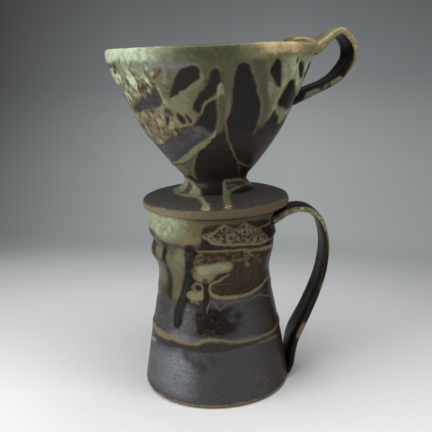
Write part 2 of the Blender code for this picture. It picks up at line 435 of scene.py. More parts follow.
def upper_glaze(s):
    """The thick green sheet round the top of the cone, broken to brown streaks and spots on the left."""
    sheet = [
        (-130, 163), (-88, 164), (-75, 164), (-60, 163), (-50, 163.5), (-43, 166), (-35, 168.5),
        (-28, 170.5), (-24, 173.5), (-20, 175), (-15, 176.5), (-10, 181), (-9, 190), (-5, 200), (6, 205),
        (8, 178), (11, 178), (24, 180), (30, 181), (36, 173), (41, 176), (46, 182), (52, 178), (57, 172),
        (64, 174.5), (75, 179), (95, 176), (130, 172),
    ]
    edge = across(sheet, s.azimuth)
    on = smoothstep(-0.7, 0.7, s.height - edge)
    base = across([(-60, 0.56), (-40, 0.48), (-28, 0.50), (-20, 0.42), (-8, 0.38), (24, 0.38), (32, 0.52),
                   (45, 0.74)], s.azimuth)
    s["flow"] += on * base
    s.lift += 0.45 * on
    s.stroke([(a, z, 1.2) for a, z in sheet[:12]], flow=0.52, lift=0.25, edge=0.9)
    left = on * (1 - smoothstep(-30, -12, s.azimuth))
    high = smoothstep(172, 205, s.height)
    s.mottle("flow", 0.46, 3.6, 3, (1, 1, 3.0), 3, left)
    s.mottle("flow", 0.40, 1.7, 2, (1, 1, 1.6), 9, left)
    s.mottle("flow", 0.16, 3.4, 2, (1, 1, 1.3), 29, on * (1 - left))
    s["flow"] += left * (0.27 * high - 0.03)
    spots = s.grain(64, 2.3, 2, (1, 1, 2.4)) + 0.35 * s.grain(68, 11, 2)
    spots = left * smoothstep(0.22, 0.36, spots)
    s["flow"] += spots * (0.22 - s["flow"])
    dim = np.interp(s.azimuth, [-32, -24, -8, 8, 24, 36], [0, 0.55, 0.75, 0.65, 0.45, 0])
    s["moss"] += on * dim * smoothstep(186, 195, s.height)
    right = on * smoothstep(34, 42, s.azimuth)
    s["flow"] += right * 0.10 * smoothstep(190, 200, s.height)
    s["flow"] -= right * 0.13 * (1 - smoothstep(180, 192, s.height))
    warm = hill(s.height, 193, 5) + hill(s.height, 178, 6) * (s.azimuth < -38)
    s["rust"] += left * np.clip(0.9 * s.grain(40, 6, 3) + 0.30 * warm - 0.12, 0, 0.55)


def cone_left_patches(s):
    """The jagged charcoal patch in the sheet, and small dark breaks above and below it."""
    charcoal = dict(flow=0.06, satin=0.62, lift=-0.35, rim=0.6)
    s.blob([(-66, 183), (-64, 186), (-60, 186.4), (-58, 188.6), (-55.5, 187.6), (-53, 190.4), (-51, 189.4),
        (-47, 192.6), (-44.5, 190.6), (-42, 194.6), (-38.5, 193.6), (-36, 196.4), (-33.5, 197.8),
        (-32, 195), (-31, 191), (-32.5, 187.5), (-38, 184.8), (-46, 184.3), (-55, 183), (-62, 181.5)],
        **charcoal)
    dark = dict(flow=0.05, lift=-0.3, rim=0.6)
    s.blob([(-33, 184), (-30, 185.5), (-27, 183.5), (-27, 181), (-30, 180.5), (-33, 181.5)], satin=0.6,
        **dark)
    s.stroke([(-31, 181, 1.5), (-33, 178.5, 3.2), (-34, 176, 2.6)], **dark)
    s.stroke([(-38.5, 181.5, 1.6), (-38, 179.8, 2.2)], edge=0.9, flow=0.16, lift=-0.2, rim=0.4)
    brown = dict(flow=0.25, lift=-0.12, edge=1.2)
    s.stroke([(-60, 178, 2), (-52, 177, 3.0), (-44, 178.5, 2)], rust=0.35, **brown)
    s.stroke([(-57, 170, 1.5), (-53, 168.5, 2.8), (-48, 168, 1.8)], rust=0.3, **brown)
    s.stroke([(-60, 174.5, 1), (-54, 173.5, 2), (-50, 172.5, 1)], rust=0.3, **brown)
    flecks = [(-40, 199.5, 1.8), (-54.5, 199.5, 2.4), (-46, 206, 1.6), (-62, 209.5, 3.0), (-36, 190.5, 1.6),
              (-46, 193.5, 1.2), (-34, 199, 1.6), (-30.5, 200.5, 1.3)]
    for azimuth, height, size in flecks:
        s.stroke([(azimuth - 0.7, height + 1.3, size * 0.7), (azimuth + 0.5, height - 1.2, size)], **brown)
    s.stroke([(-60, 210.5, 1.5), (-70, 209, 2.5), (-84, 208.6, 3)], flow=0.16, blue=0.5, lift=-0.1,
        edge=1.5)
    s.stroke([(-62, 198, 4), (-76, 195, 6), (-92, 194, 7)], flow=0.62, edge=2)


def cone_middle_patches(s):
    """The three big dark shapes in front, and the green runs that part them."""
    dark = dict(flow=0.03, lift=-0.42, rim=0.45)
    s.blob([(-13, 208), (-10, 209), (-7, 208), (-5, 205), (-5.5, 200), (-8, 197.2), (-13, 195.8),
        (-18, 194), (-22, 191.8), (-26, 189.6), (-25, 193), (-22, 199), (-18, 204), (-15, 207)], **dark)
    s.blob([(-27, 188.5), (-24, 191.2), (-18, 193.2), (-12, 196.8), (-8, 198.2), (-4.5, 203), (-4.2, 197),
        (-8, 190), (-11, 184), (-12.5, 179.5), (-18, 177), (-22, 179.5), (-24.5, 182.5)], flow=0.46,
        lift=0.15, edge=1.0)
    s.stroke([(-24, 190.4, 1.6), (-17, 193, 2.2), (-11, 197, 2.6), (-6.4, 199.6, 1.8), (-5, 203.5, 1.2)],
        flow=0.58, edge=1.0)
    s.blob([(-27, 188), (-22, 190.8), (-15, 193.4), (-13, 190), (-14.5, 184.5), (-18, 181), (-22, 181.2),
        (-25.6, 184)], flow=0.60, lift=0.15, edge=1.8)
    s.blob([(-1.5, 203), (0.5, 206.4), (3.5, 206.2), (5.2, 203), (5.2, 199.5), (4.2, 196), (1.6, 192.6),
        (-2.4, 189.8), (-6, 186.4), (-8.6, 182), (-11.6, 183), (-12, 187), (-9.4, 191), (-5.4, 194.6),
        (-2.8, 198.5)], **dark)
    s.blob([(-9.5, 180), (-7, 184), (-4, 187.6), (1.2, 190.5), (2.2, 187), (2.6, 180), (1.6, 174),
        (-2, 169.5), (-8, 172), (-15, 174.2)], flow=0.02, lift=-0.45, rim=0.35)
    s.stroke([(5, 197, 2.2), (3, 192.2, 2.4), (-1.5, 189.2, 1.8), (-5.4, 186.0, 1.5), (-8, 182, 1.4)],
        flow=0.52, lift=0.15)
    s.stroke([(4.4, 197.4, 2.2), (4.6, 193.5, 4.6), (4.8, 190, 4.2)], flow=0.72, lift=0.15)
    s.stroke([(5.6, 190, 5.4), (5.4, 184, 4.6), (4.9, 178, 3.6), (4.2, 174, 2.6), (2.0, 171, 1.6)],
        flow=0.30, blue=0.10, moss=0.55, lift=0.10, rim=0.45)
    s.blob([(11.3, 201), (12, 206), (14.5, 208.8), (18.5, 208.4), (21.5, 204.5), (25, 197), (29, 190),
        (32.4, 184), (33.4, 178), (32.5, 171), (28, 164), (8, 164), (8, 171), (8.7, 178), (10.4, 184),
        (11.2, 190)], flow=0.02, lift=-0.45, rim=0.45)
    s.stroke([(24, 209, 5), (28.5, 199, 5), (33, 190, 5), (36, 181, 5), (36, 173, 4)], flow=0.34, blue=0.12,
        moss=0.55, edge=1.8)
    s.blob([(6, 171), (12, 168), (24, 169), (32, 168), (36, 158), (4, 158)], edge=2.0, flow=0.05, tan=0.0)
    s.stroke([(-22.8, 183.8, 1.0), (-22.2, 180.8, 4.2), (-21.0, 177.8, 4.6)], flow=0.03, lift=-0.4, rim=0.9)
    s.stroke([(-17.4, 182.4, 1.0), (-16.6, 180.0, 3.6), (-16.0, 178.2, 3.8)], flow=0.03, lift=-0.4, rim=0.9)
    s.stroke([(-26.5, 207, 2.5), (-28.5, 201, 3.6), (-28.5, 195, 3.2), (-27, 189.5, 1.6)], flow=0.44,
        blue=0.2, moss=0.3, edge=1.4)


def cone_right_patches(s):
    """Small dark ovals in the green below the handle."""
    dark = dict(flow=0.03, lift=-0.42, rim=0.55)
    s.blob([(32.4, 205), (34, 208.7), (36, 210.2), (38.5, 208.6), (40, 204), (42.2, 199), (43.6, 195.6),
        (42, 194.6), (39, 196.6), (35, 199.6), (32.6, 202)], **dark)
    s.blob([(33, 198.5), (36.5, 197.5), (38, 193), (37, 189), (34.5, 191), (32.6, 195)], flow=0.74,
        lift=0.1)
    s.blob([(50.4, 210), (51.6, 210.2), (52, 208), (50.6, 207.8)], flow=0.1, lift=-0.3, rim=0.4)
    s.blob([(54, 207), (57, 207.8), (61, 205.6), (63.6, 202), (65.4, 199.2), (62, 198.6), (59, 201),
        (55, 204.2)], flow=0.07, lift=-0.35, rim=0.6)
    s.blob([(45.6, 187), (46.8, 192), (48.6, 196.6), (51.6, 198.8), (56, 197.6), (60, 194.2), (66, 190.6),
        (75, 188), (90, 187), (97, 185), (92, 181), (75, 181), (62, 181.2), (55, 182.4), (49, 183.4)],
        **dark)
    s.blob([(70, 207), (78, 208.5), (90, 207), (95, 201), (88, 195.5), (76, 194.8), (70.5, 199)], flow=0.04,
        lift=-0.35, rim=0.4)
    s.stroke([(44, 205, 5), (47.5, 199, 4), (46, 190, 3), (44, 183.5, 4)], flow=0.80, lift=0.1, edge=1.4)


def cone_rim_band(s):
    """The glaze rolls thick under the rim: pale mint on the left, olive in front, toast brown on the right
    with a painted highlight.
    """
    spread = np.clip(s.azimuth, -88, 88)
    stops = [-88, -60, -32, -22, 0, 24, 34, 50, 62, 88]
    flow = np.interp(spread, stops, [0.95, 1.0, 0.93, 0.74, 0.48, 0.72, 0.66, 0.66, 0.72, 0.66])
    edge = np.interp(spread, stops, [212, 211.5, 210.5, 210, 209.5, 209.5, 211, 211.5, 211, 211])
    wave = 1.1 * s.grain(71, 8, 2)
    on = smoothstep(-2.2, 2.2, s.height - edge + wave) * (1 - smoothstep(221, 225, s.height))
    s["flow"] += on * (flow - s["flow"])
    s.lift += on * (0.15 - 0.4 * s.lift)
    olive = across([(-38, 0), (-20, 0.45), (-6, 0.9), (8, 0.9), (18, 0.45), (26, 0)], spread)
    s["moss"] += on * (olive - s["moss"])
    # Toast glaze on the band's right, made paler near the top as a painted highlight.
    rim_toast_and_highlight = across([(12, 0), (34, 1), (46, 1), (68, 0.2)], spread)
    rim_toast_and_highlight = rim_toast_and_highlight * smoothstep(209, 215, s.height + 1.5 * wave)
    rim_toast_and_highlight = np.clip(rim_toast_and_highlight + 0.3 * s.grain(46, 5, 3), 0, 1) * (rim_toast_and_highlight > 0)
    s["rust"] += rim_toast_and_highlight * on * (1.0 - s["rust"])
    for azimuth, low, wide in ((-57, 203.5, 6.0), (-41, 204, 5.2)):
        s.stroke([(azimuth, 209.5, wide * 0.8), (azimuth + 0.8, 206.5, wide),
            (azimuth + 1.4, low, wide * 0.6)], flow=0.74, edge=1.3, lift=0.15)
    s.stroke([(-35, 203, 2.6), (-31.5, 207.2, 2.4), (-26, 209.4, 2.4), (-24, 206, 2.2), (-26.5, 200, 2.0)],
        flow=0.66, edge=1.0, lift=0.1)
    s.blob([(-33, 202.5), (-30, 204.5), (-26.5, 207), (-25.4, 207), (-25.6, 205.4), (-28, 203.2),
        (-31, 201.3)], flow=0.17, lift=-0.2, rim=0.5, rust=0.25)
    s.stroke([(-35.5, 205, 2.0), (-34, 202.5, 2.2)], flow=0.2, blue=0.5, edge=0.9)
    strip = hill(s.height - edge, -1.5, 2.3) * across([(-66, 0), (-52, 1), (-16, 1), (0, 0)], spread)
    strip *= 0.75 + 0.6 * s.grain(45, 7, 2)
    strip = np.clip(strip, 0, 1) * smoothstep(0.15, 0.35, s["flow"])
    s["blue"] = np.maximum(s["blue"], 0.95 * strip)
    s.mottle("flow", 0.12, 2.6, 2, (1, 1, 1), 13, on)


def lower_runs(s):
    """Below the sheet the glaze is thin and nearly black, with narrow runs swept round the neck."""
    s.blob([(-130, 164), (-75, 164.5), (-60, 162.5), (-50, 163), (-43, 165.5), (-35, 168), (-28, 170),
        (-22, 173), (-12, 174.5), (-4, 171.5), (-1, 170), (-5, 165), (-15, 161), (-25, 157), (-35, 154),
        (-50, 151.5), (-70, 150), (-130, 150)], edge=1.4, flow=0.09, satin=0.8)
    s.blob([(-15, 161), (-22, 158.4), (-30, 154.6), (-40, 151.8), (-50, 149.8), (-56, 147), (-50, 143.4),
        (-40, 140.6), (-34, 142), (-31, 146.6), (-26, 150.5), (-20, 155.5)], edge=1.0, flow=0.30, blue=0.22,
        moss=0.5, lift=0.2, rim=0.3)
    s.stroke([(0.5, 171.5, 1.6), (-3, 167.6, 3.2), (-10, 163.3, 4.4), (-20, 159, 4.6), (-30, 155, 4.2),
        (-40, 152.3, 3.0), (-50, 150.6, 2.0), (-65, 149.2, 2.0), (-88, 147.2, 2.8), (-120, 147, 3)],
        flow=0.60, lift=0.55)
    s.stroke([(-14, 160, 1.0), (-20, 155.5, 1.2), (-26, 150.5, 1.2), (-31, 147, 1.2), (-35, 143.5, 1.2),
        (-38, 139.5, 1.2)], flow=0.40, tan=0.35, lift=0.15)
    s.stroke([(8.5, 177, 0.9), (10, 168, 1.2), (14, 161.5, 1.3), (18, 157, 1.2), (24, 152.5, 1.0),
        (32, 149.6, 1.5), (42, 147.8, 1.5), (55, 146.4, 1.2), (75, 145, 1)], flow=0.40, moss=0.35,
        lift=0.18)
    s.stroke([(24, 152.3, 0.9), (28, 149, 1.2), (34, 145, 1.2), (40, 141.5, 1)], flow=0.28, lift=0.15)


def neck_runs(s):
    """Two runs round the neck and out over the saucer, laid out the same on both pieces."""
    s.blob([(-150, 148), (-88, 146.4), (-60, 147.6), (-45, 148), (-39, 146.6), (-45, 143.5), (-55, 141),
        (-75, 139.5), (-150, 139)], edge=1.2, flow=0.56, lift=0.25)
    s.blob([(-62, 138.6), (-46, 136.8), (-38, 135.2), (-30, 133.2), (-26, 131.6), (-22, 129.2),
        (-15, 127.7), (-12, 125.2), (-10, 122.7), (-8, 120.2), (-6, 117.2), (-4.6, 114), (-5, 110.6),
        (-9.4, 110.4), (-11.6, 113), (-11.4, 116.2), (-13, 119.2), (-15.5, 122.2), (-18.5, 124.2),
        (-22.5, 125.7), (-27, 127), (-35, 127.5), (-50, 127.3), (-60, 127.8), (-75, 128), (-90, 128.6),
        (-120, 129), (-120, 139)], edge=0.7, flow=0.78, lift=0.55, rim=0.5)
    s.blob([(-62, 137), (-58, 137.2), (-50, 135.8), (-46, 133), (-47, 130.5), (-53, 129.4), (-61, 130.5)],
        flow=0.10, lift=-0.35, rim=0.6, blue=0.45)
    s.blob([(12.5, 137), (16, 138.6), (22, 138.2), (30, 138.3), (40, 138.7), (50, 137.8), (60, 136.4),
        (75, 134.5), (110, 134), (110, 130.5), (90, 131.2), (75, 132.7), (60, 133.4), (45, 133.2),
        (33, 132.7), (25, 131.7), (20.5, 129.4), (17.4, 127.2), (15.4, 125), (14, 120.2), (12.6, 115.2),
        (11.6, 111), (6.4, 111), (7, 115.2), (7.6, 120.2), (7.8, 125.2), (8, 127.7), (9, 129.7),
        (10.6, 132.2), (11.6, 134.7)], edge=0.6, flow=0.62, lift=0.5, rim=0.5)
    s.blob([(17, 137.2), (24, 136.8), (40, 137.2), (52, 136.2), (62, 134.8), (56, 133.8), (42, 134.2),
        (30, 133.6), (21, 132.6), (17.4, 134.4)], flow=0.06, lift=-0.35, blue=0.25)


def glaze_cone(s):
    """All of the cone's layers, then its plainer inside and the bare clay under the floor."""
    s["flow"] += 0.07
    upper_glaze(s)
    cone_left_patches(s)
    cone_middle_patches(s)
    cone_right_patches(s)
    cone_rim_band(s)
    lower_runs(s)
    # In the satin patches: mottled satin, and bluish streaks that are partly fine scratches in the glaze and
    # partly painted glints.
    scuffed_and_glinting = s["satin"] > 0.3
    s["satin"] *= np.where(scuffed_and_glinting, np.clip(0.75 + 0.7 * s.grain(47, 2.6, 3, (1.6, 1, 0.8)), 0, 1), 1)
    s["blue"] += scuffed_and_glinting * np.clip(0.9 * s.grain(49, 2.2, 3, (1.6, 1, 0.7)) - 0.12, 0, 0.45)
    neck_runs(s)
    inside = smoothstep(CONE_INSIDE_FROM, CONE_INSIDE_FROM + 5, s.height)
    s["flow"] += inside * (0.42 + 0.3 * s.grain(90, 14, 3, (1, 1, 3)) - s["flow"])
    s.lift *= 1 - inside
    bare = smoothstep(CONE_BARE_FROM, CONE_BARE_FROM + 4, s.height)
    s["raw"] += bare
    rings = 0.02 * np.sin(s.points[:, 2] * 2 * np.pi / 4.3 + 1.5 * s.grain(5, 30, 1))
    s.lift += rings * (1 - bare) + 0.06 * s.grain(15, 3.5, 2)
    sway = 0.4 * np.sin(np.radians(2 * s.azimuth) + 0.6)
    s.points[:, 2] += sway * smoothstep(190, RIM_TOP, s.points[:, 2])


def build_cone():
    turning = Turning(CONE_COLUMNS, cone_axis)
    cone_outline(turning)
    surface = turning.surface()
    glaze_cone(surface)
    return turning.build("cone_glazed", surface, closed=True)


# ---------------------------------------------------------------- saucer and locating ring
def build_saucer():
    turning = Turning(SAUCER_COLUMNS, lambda height: DRIPPER_X)
    bottom, edge = SAUCER_UNDER, SAUCER_RADIUS
    turning.along([(BORE, bottom), (edge - 1.6, bottom)], 2.0, lambda radius: 75 + radius - edge, 1)
    lip = [(1.6, 0), (0.4, 0.7), (0.1, 2.4), (0.5, 3.9)]
    lip = [(edge - inset, bottom + rise) for inset, rise in lip]
    turning.along(lip, 0.6, (100, 107.6), 4)
    turning.along([lip[-1], *SAUCER_TOP[::-1]], 0.65, lambda radius: SAUCER_LAYOUT - radius)
    turning.along([(25.0, 130.2), (BORE, 130.3)], 1.5, lambda radius: SAUCER_LAYOUT - radius, 1)
    turning.along([(BORE, 130.0), (BORE, bottom + 1.0)], 1.5, "onward", 1)
    s = turning.surface()
    s["flow"] += 0.12
    s["satin"] += 0.85
    s.mottle("satin", 0.25, 7, 2, (1, 1, 1), 17)
    s.mottle("flow", 0.06, 3.0, 3, (1, 1, 1), 27)
    # Painted shade: the satin dulls towards the saucer's right.
    s["satin"] -= 0.35 * smoothstep(45, 80, s.azimuth)
    # Painted sheen: blue-grey on the saucer's left, where the key light grazes it.
    s["blue"] += 0.30 * (1 - smoothstep(-40, 5, s.azimuth)) * (1 + 0.5 * s.grain(6, 5, 3))
    s["rust"] += np.clip(1.5 * s.grain(66, 1.5, 2) - 0.50, 0, 0.4) * (1 - smoothstep(20, 60, s.azimuth))
    neck_runs(s)
    ladder = smoothstep(0.4, 0.5, s["flow"]) * (1 - smoothstep(117, 120.5, s.height))
    rungs = smoothstep(-0.2, 0.7, np.sin(s.height * 2 * np.pi / 2.1 + 2 * s.grain(0, 4, 1)))
    s["rust"] += 0.95 * ladder * (1 - rungs)
    s["flow"] -= 0.50 * ladder * rungs
    s.lift -= 0.2 * ladder * rungs
    wave = 0.6 * s.grain(61, 9, 2)
    worn = np.interp(s.azimuth, [-90, -20, 20, 90], [108.6, 108.9, 109.8, 109.8])
    bare = 1 - smoothstep(-0.5, 0.5, s.height + wave - worn)
    s["raw"] += bare * (1 - s["raw"])
    s["crust"] += bare * (np.interp(s.azimuth, [-40, -5, 90], [0.05, 0.85, 0.8]) - s["crust"])
    s.lift -= 0.15 * bare
    s.lift += 0.05 * np.sin((SAUCER_LAYOUT - s.height) * 2 * np.pi / 2.6) * (1 - bare)
    s.lift += 0.12 * s.grain(35, 4, 2)
    return turning.build("saucer_glazed", s, closed=True)


def build_ring():
    turning = Turning(RING_COLUMNS, lambda height: DRIPPER_X)
    low, top = RING_LOW[2], RING_HIGH[2]
    outer, inner = RING_RADIUS, RING_RADIUS - 4.0
    turning.along([(outer, top), (outer, low + 1.4)], 0.8, "height", 1)
    turn = np.radians(np.linspace(0, -180, 13))
    half = (outer - inner) / 2
    lip = np.stack([inner + half + half * np.cos(turn), low + 1.4 + 1.4 * np.sin(turn)], axis=1)
    turning.along(lip, 0.6, "height", 1)
    turning.along([(inner, low + 1.4), (inner, top)], 0.8, "height", 1)
    turning.along([(inner, top), (outer - 0.8, top)], 0.8, "height", 1)
    s = turning.surface()
    s["raw"] += 1
    s.lift += 0.10 * s.grain(0, 3, 3)
    return turning.build("ring_bare", s, closed=True)


# ---------------------------------------------------------------- mug
def mug_outline(turning):
    turning.along([(0.6, 0.4), (45.6, 0.4), (46.4, 0.0), (47.3, 0.05)], 2.2, lambda radius: radius - 48, 1)
    turning.along(MUG_BASE[::-1], 0.62)
    turning.along(half_circle(38.4, MUG_RIM_TOP, 3.8), 0.6, "onward")
    turning.along([(36.5, 118.0)] + MUG_INSIDE[::-1][1:], 2.2, "onward")
    turning.along([(40.0, 7.3), (30.0, 7.0), (0.6, 6.6)], 2.6, "onward", 3)


def throwing_rolls(s):
    """The two fat rolls under the lip, slanting down to the right, with a sharp groove between them."""
    right = (1 + np.sin(np.radians(s.azimuth))) / 2
    z = s.points[:, 2]
    outside = smoothstep(-0.5, 1.0, s.height) * (1 - smoothstep(MUG_RIM_TOP - 2, MUG_RIM_TOP, s.height))
    wave = 0.8 * s.grain(51, 16, 2)
    relief = 2.3 * hill(z + 5 * right + wave, 106.5, 5.4)
    relief += 2.5 * (1 - 0.65 * right) * hill(z + wave, 91, 4.6)
    relief -= 0.9 * hill(z + 0.4 * wave, 98.9, 1.3)
    relief += 0.7 * hill(z + 2.5 * right + wave, 41.5, 2.6)
    relief += 0.3 * hill(z + wave, 68, 3.0)
    s.lift += relief * outside


def mug_fields(s):
    """The broad zones: gunmetal skirt, speckled brown waist, green on the left, and painted shade on the
    skirt's right.
    """
    s["flow"] += 0.12
    s["satin"] += 1.0
    waist = [(-130, 62), (-88, 60), (-70, 62), (-50, 66), (-25, 64), (-12, 62), (-7, 62), (-5, 74),
             (0, 69.6), (15, 68.3), (25, 68.5), (40, 69.0), (50, 70.0), (58, 71.2), (65, 72.2), (75, 73.6),
             (130, 76)]
    edge = across(waist, s.azimuth)
    on = smoothstep(-1, 1, s.height - edge)
    s["satin"] *= 1 - on
    centre = on * window(s.azimuth, -24, -16, 62, 84)
    s["flow"] += 0.12 * centre - 0.06 * on
    s.mottle("flow", 0.11, 1.7, 3, (1, 1, 0.8), 3, centre)
    left = on * (1 - smoothstep(-62, -48, s.azimuth))
    streaks = s.grain(33, 9, 3, (1, 1, 0.45))
    s["flow"] += left * (0.27 + 0.40 * streaks - 0.03 * np.clip(s.height - 92, 0, 9))
    s["moss"] += left * 0.58
    blue = on * (1 - left) * window(s.azimuth, -60, -40, -25, -10)
    s["flow"] += blue * (0.14 + 0.16 * s.grain(73, 5, 2, (1, 1, 2)))
    # Painted shade: the skirt loses its satin towards the right, so that side reads dark brown.
    s["satin"] -= 0.95 * smoothstep(26, 64, s.azimuth) * (1 - on)
    s["satin"] -= 0.3 * (1 - smoothstep(-20, 0, s.azimuth)) * smoothstep(44, 48, s.height) * (1 - on)


def mug_shoulder(s):
    """The pale roll under the saucer with painted light and shade on it, dark scallops, and the crackled
    patch to its right.
    """
    s.blob([(-130, 100), (-88, 101), (-70, 102.5), (-54, 104), (-46, 102.4), (-28, 102.2), (-18, 102.6),
        (-12, 105.5), (-9.5, 109), (-9, 113.5), (0, 116), (16, 115.6), (32, 116), (50, 115), (65, 114),
        (90, 113), (130, 113), (130, 128), (-130, 128)], edge=1.2, flow=0.46, lift=0.3)
    s["satin"] *= 1 - smoothstep(98, 100, s.height)
    # Pale mint glaze on the roll's top left, with painted light on the roll's top and painted shade below
    # it; towards the right the roll turns browner.
    pale = smoothstep(102.5, 109, s.height) * (1 - smoothstep(-44, -16, s.azimuth + 1.2 * (112 - s.height)))
    pale *= 1 - smoothstep(122, 125, s.height)
    s["flow"] += 0.36 * pale - 0.08 * smoothstep(-30, -14, s.azimuth) * (s.height > 101)
    warm = hill(s.azimuth, -21, 9) * hill(s.height, 107, 6)
    s["rust"] += warm * np.clip(0.30 + 0.4 * s.grain(44, 5, 2), 0, 0.5)
    s["moss"] += 0.6 * smoothstep(-12, 6, s.azimuth) * window(s.height, 111, 113, 122, 125)
    s.mottle("flow", 0.16, 3.6, 3, (1, 1, 1), 43, smoothstep(101, 104, s.height) * (s.azimuth < -8))
    # A dark band and a darker line under the upper roll: dark glaze, and painted shadow where the roll
    # overhangs.
    s.blob([(-130, 99), (-92, 104), (-80, 106.4), (-70, 108), (-62, 107.6), (-56, 105.2), (-46, 103.4),
        (-36, 103), (-26, 103.2), (-16, 103.8), (-14, 101.6), (-28, 101), (-46, 100.6), (-58, 99.8),
        (-70, 99.4), (-88, 98.5), (-130, 96)], edge=1.8, flow=0.14, blue=0.22, lift=-0.2)
    s.stroke([(-50, 102.6, 0.9), (-40, 102.9, 1.5), (-28, 102.7, 0.9)], flow=0.04, blue=0.4, lift=-0.3)
    s.blob([(-9.6, 107), (-8.4, 110.2), (-4.4, 112.2), (0.5, 113.8), (5, 116), (14, 115.2), (22, 114.4),
        (31, 116), (50, 114.6), (70, 111), (95, 108), (130, 107), (130, 98), (70, 96), (50, 98.5),
        (30, 99.6), (0, 100), (-13, 100.4), (-11.4, 103.6)], edge=1.2, flow=0.05, lift=-0.2, satin=0.0)
    crackle = [(-8, 109.5), (-3, 110.3), (2, 112.2), (6, 114.4), (10, 115.2), (13.5, 113.6), (20, 112.2),
               (26, 113.4), (29.5, 115), (33, 112.6), (40, 111), (46, 109), (51, 105), (56, 101.5),
               (50, 100.3), (42, 101), (35, 102), (25, 102.8), (16, 103.2), (8, 103.8), (2, 104.8),
               (-2, 106.6)]
    s.blob(crackle, edge=0.6, flow=0.25, crust=1.0, lift=0.30, rim=0.7)
    s.stroke([(-8, 108.8, 1.0), (-4, 107.6, 1.5), (0, 105.4, 1.4), (8, 103.7, 1.2), (16, 103.2, 1.4),
        (25, 102.7, 1.3), (35, 101.8, 1.3), (45, 100.2, 1.1), (55, 99, 0.9)], flow=0.42, tan=0.8, lift=0.2)
    s.blob([(33, 111.4), (40, 110), (47, 108), (50, 104.5), (47, 103.4), (42, 106), (37, 108)], edge=1.6,
        flow=0.36, crust=0.6)
    s.stroke([(44, 110.2, 0.7), (55, 109.8, 1.0), (66, 110.6, 1.0)], flow=0.45, tan=0.3, lift=0.1)


def mug_lines(s):
    """Tan lines where one thick run of glaze stops over another."""
    s.stroke([(-15, 99.7, 0.5), (0, 99.5, 0.8), (20, 99.3, 0.8), (30, 98.2, 1.0), (40, 97.2, 1.4),
        (50, 96.2, 1.8), (60, 95.4, 2.0), (70, 94.4, 1.4), (88, 92.5, 1)], flow=0.42, tan=0.9, lift=0.15)
    s.stroke([(33, 97.2, 0.8), (36, 94, 0.8), (40, 92.4, 0.6)], flow=0.36, tan=0.5)
    s.stroke([(45, 90, 0.6), (50, 87, 0.6)], flow=0.34, tan=0.4)
    s.stroke([(29, 91, 1.0), (31.5, 88.5, 2.4), (34, 87.4, 1.4)], flow=0.36, tan=0.3, edge=1.0)
    s.stroke([(29.5, 92, 0.8), (34, 92.4, 0.9)], flow=0.34, tan=0.3)


def mug_drips_left(s):
    """Soft green columns on the left, and the dark drips between them."""
    s.blob([(-58, 99.5), (-47, 100), (-46, 96), (-44, 94), (-40, 93.2), (-38, 95.4), (-35, 97.8),
        (-31.5, 100), (-28, 99.6), (-25.5, 94), (-26, 88.5), (-29.5, 84), (-33, 81), (-35, 76), (-34, 70),
        (-37, 65.5), (-43, 66), (-46, 74), (-46.5, 84), (-50, 92)], edge=2.4, flow=0.46, moss=0.45,
        lift=0.1)
    s.blob([(-39.5, 93), (-38, 95.4), (-34.5, 98.4), (-31.5, 100.4), (-28.4, 98.6), (-26.4, 93.5),
        (-27, 88.5), (-30.5, 85.4), (-34, 84.5), (-38, 87), (-41, 90)], edge=2.0, flow=0.58, moss=0.30,
        lift=0.3)
    s.blob([(-45.5, 99.8), (-45, 95.2), (-43, 93.4), (-40.2, 93.2), (-39.4, 95.6), (-36.4, 98.2),
        (-34.5, 99.8)], edge=1.2, flow=0.30, lift=-0.2, rim=0.4)
    s.blob([(-46, 80), (-42, 83), (-37, 81), (-34, 75), (-35, 68.5), (-40, 67.5), (-44, 72)], edge=2.6,
        flow=0.38, moss=0.2)
    s.blob([(-69, 98.6), (-60, 99), (-55, 98.4), (-53, 95), (-55, 92), (-62, 92.6), (-68, 95)], edge=1.4,
        flow=0.58)
    drip = dict(flow=0.02, edge=1.0, lift=0.35)
    s.stroke([(-49, 101, 5.5), (-49.8, 94, 4.4), (-49.6, 84, 4.0), (-50, 74, 4.4), (-50, 66, 3.6)],
        flow=0.07, edge=1.4, lift=0.25)
    s.stroke([(-21.4, 100.4, 6.0), (-21.0, 97, 6.6), (-20.8, 92, 6.6), (-21.8, 86, 6.6), (-25.0, 80, 6.6),
        (-29.0, 72, 6.0), (-33, 65, 5.8), (-36.2, 59, 6.2), (-37.6, 54, 6.8), (-37.6, 51.8, 6.2)],
        **{**drip, "lift": 0.9})
    # Painted shadow: a black line along the right of the raised drip's tip and below it.
    s.stroke([(-33.6, 57, 0.8), (-33.2, 52.6, 1.6), (-35.6, 49.2, 1.4)], flow=0.0, lift=-0.2, satin=0)


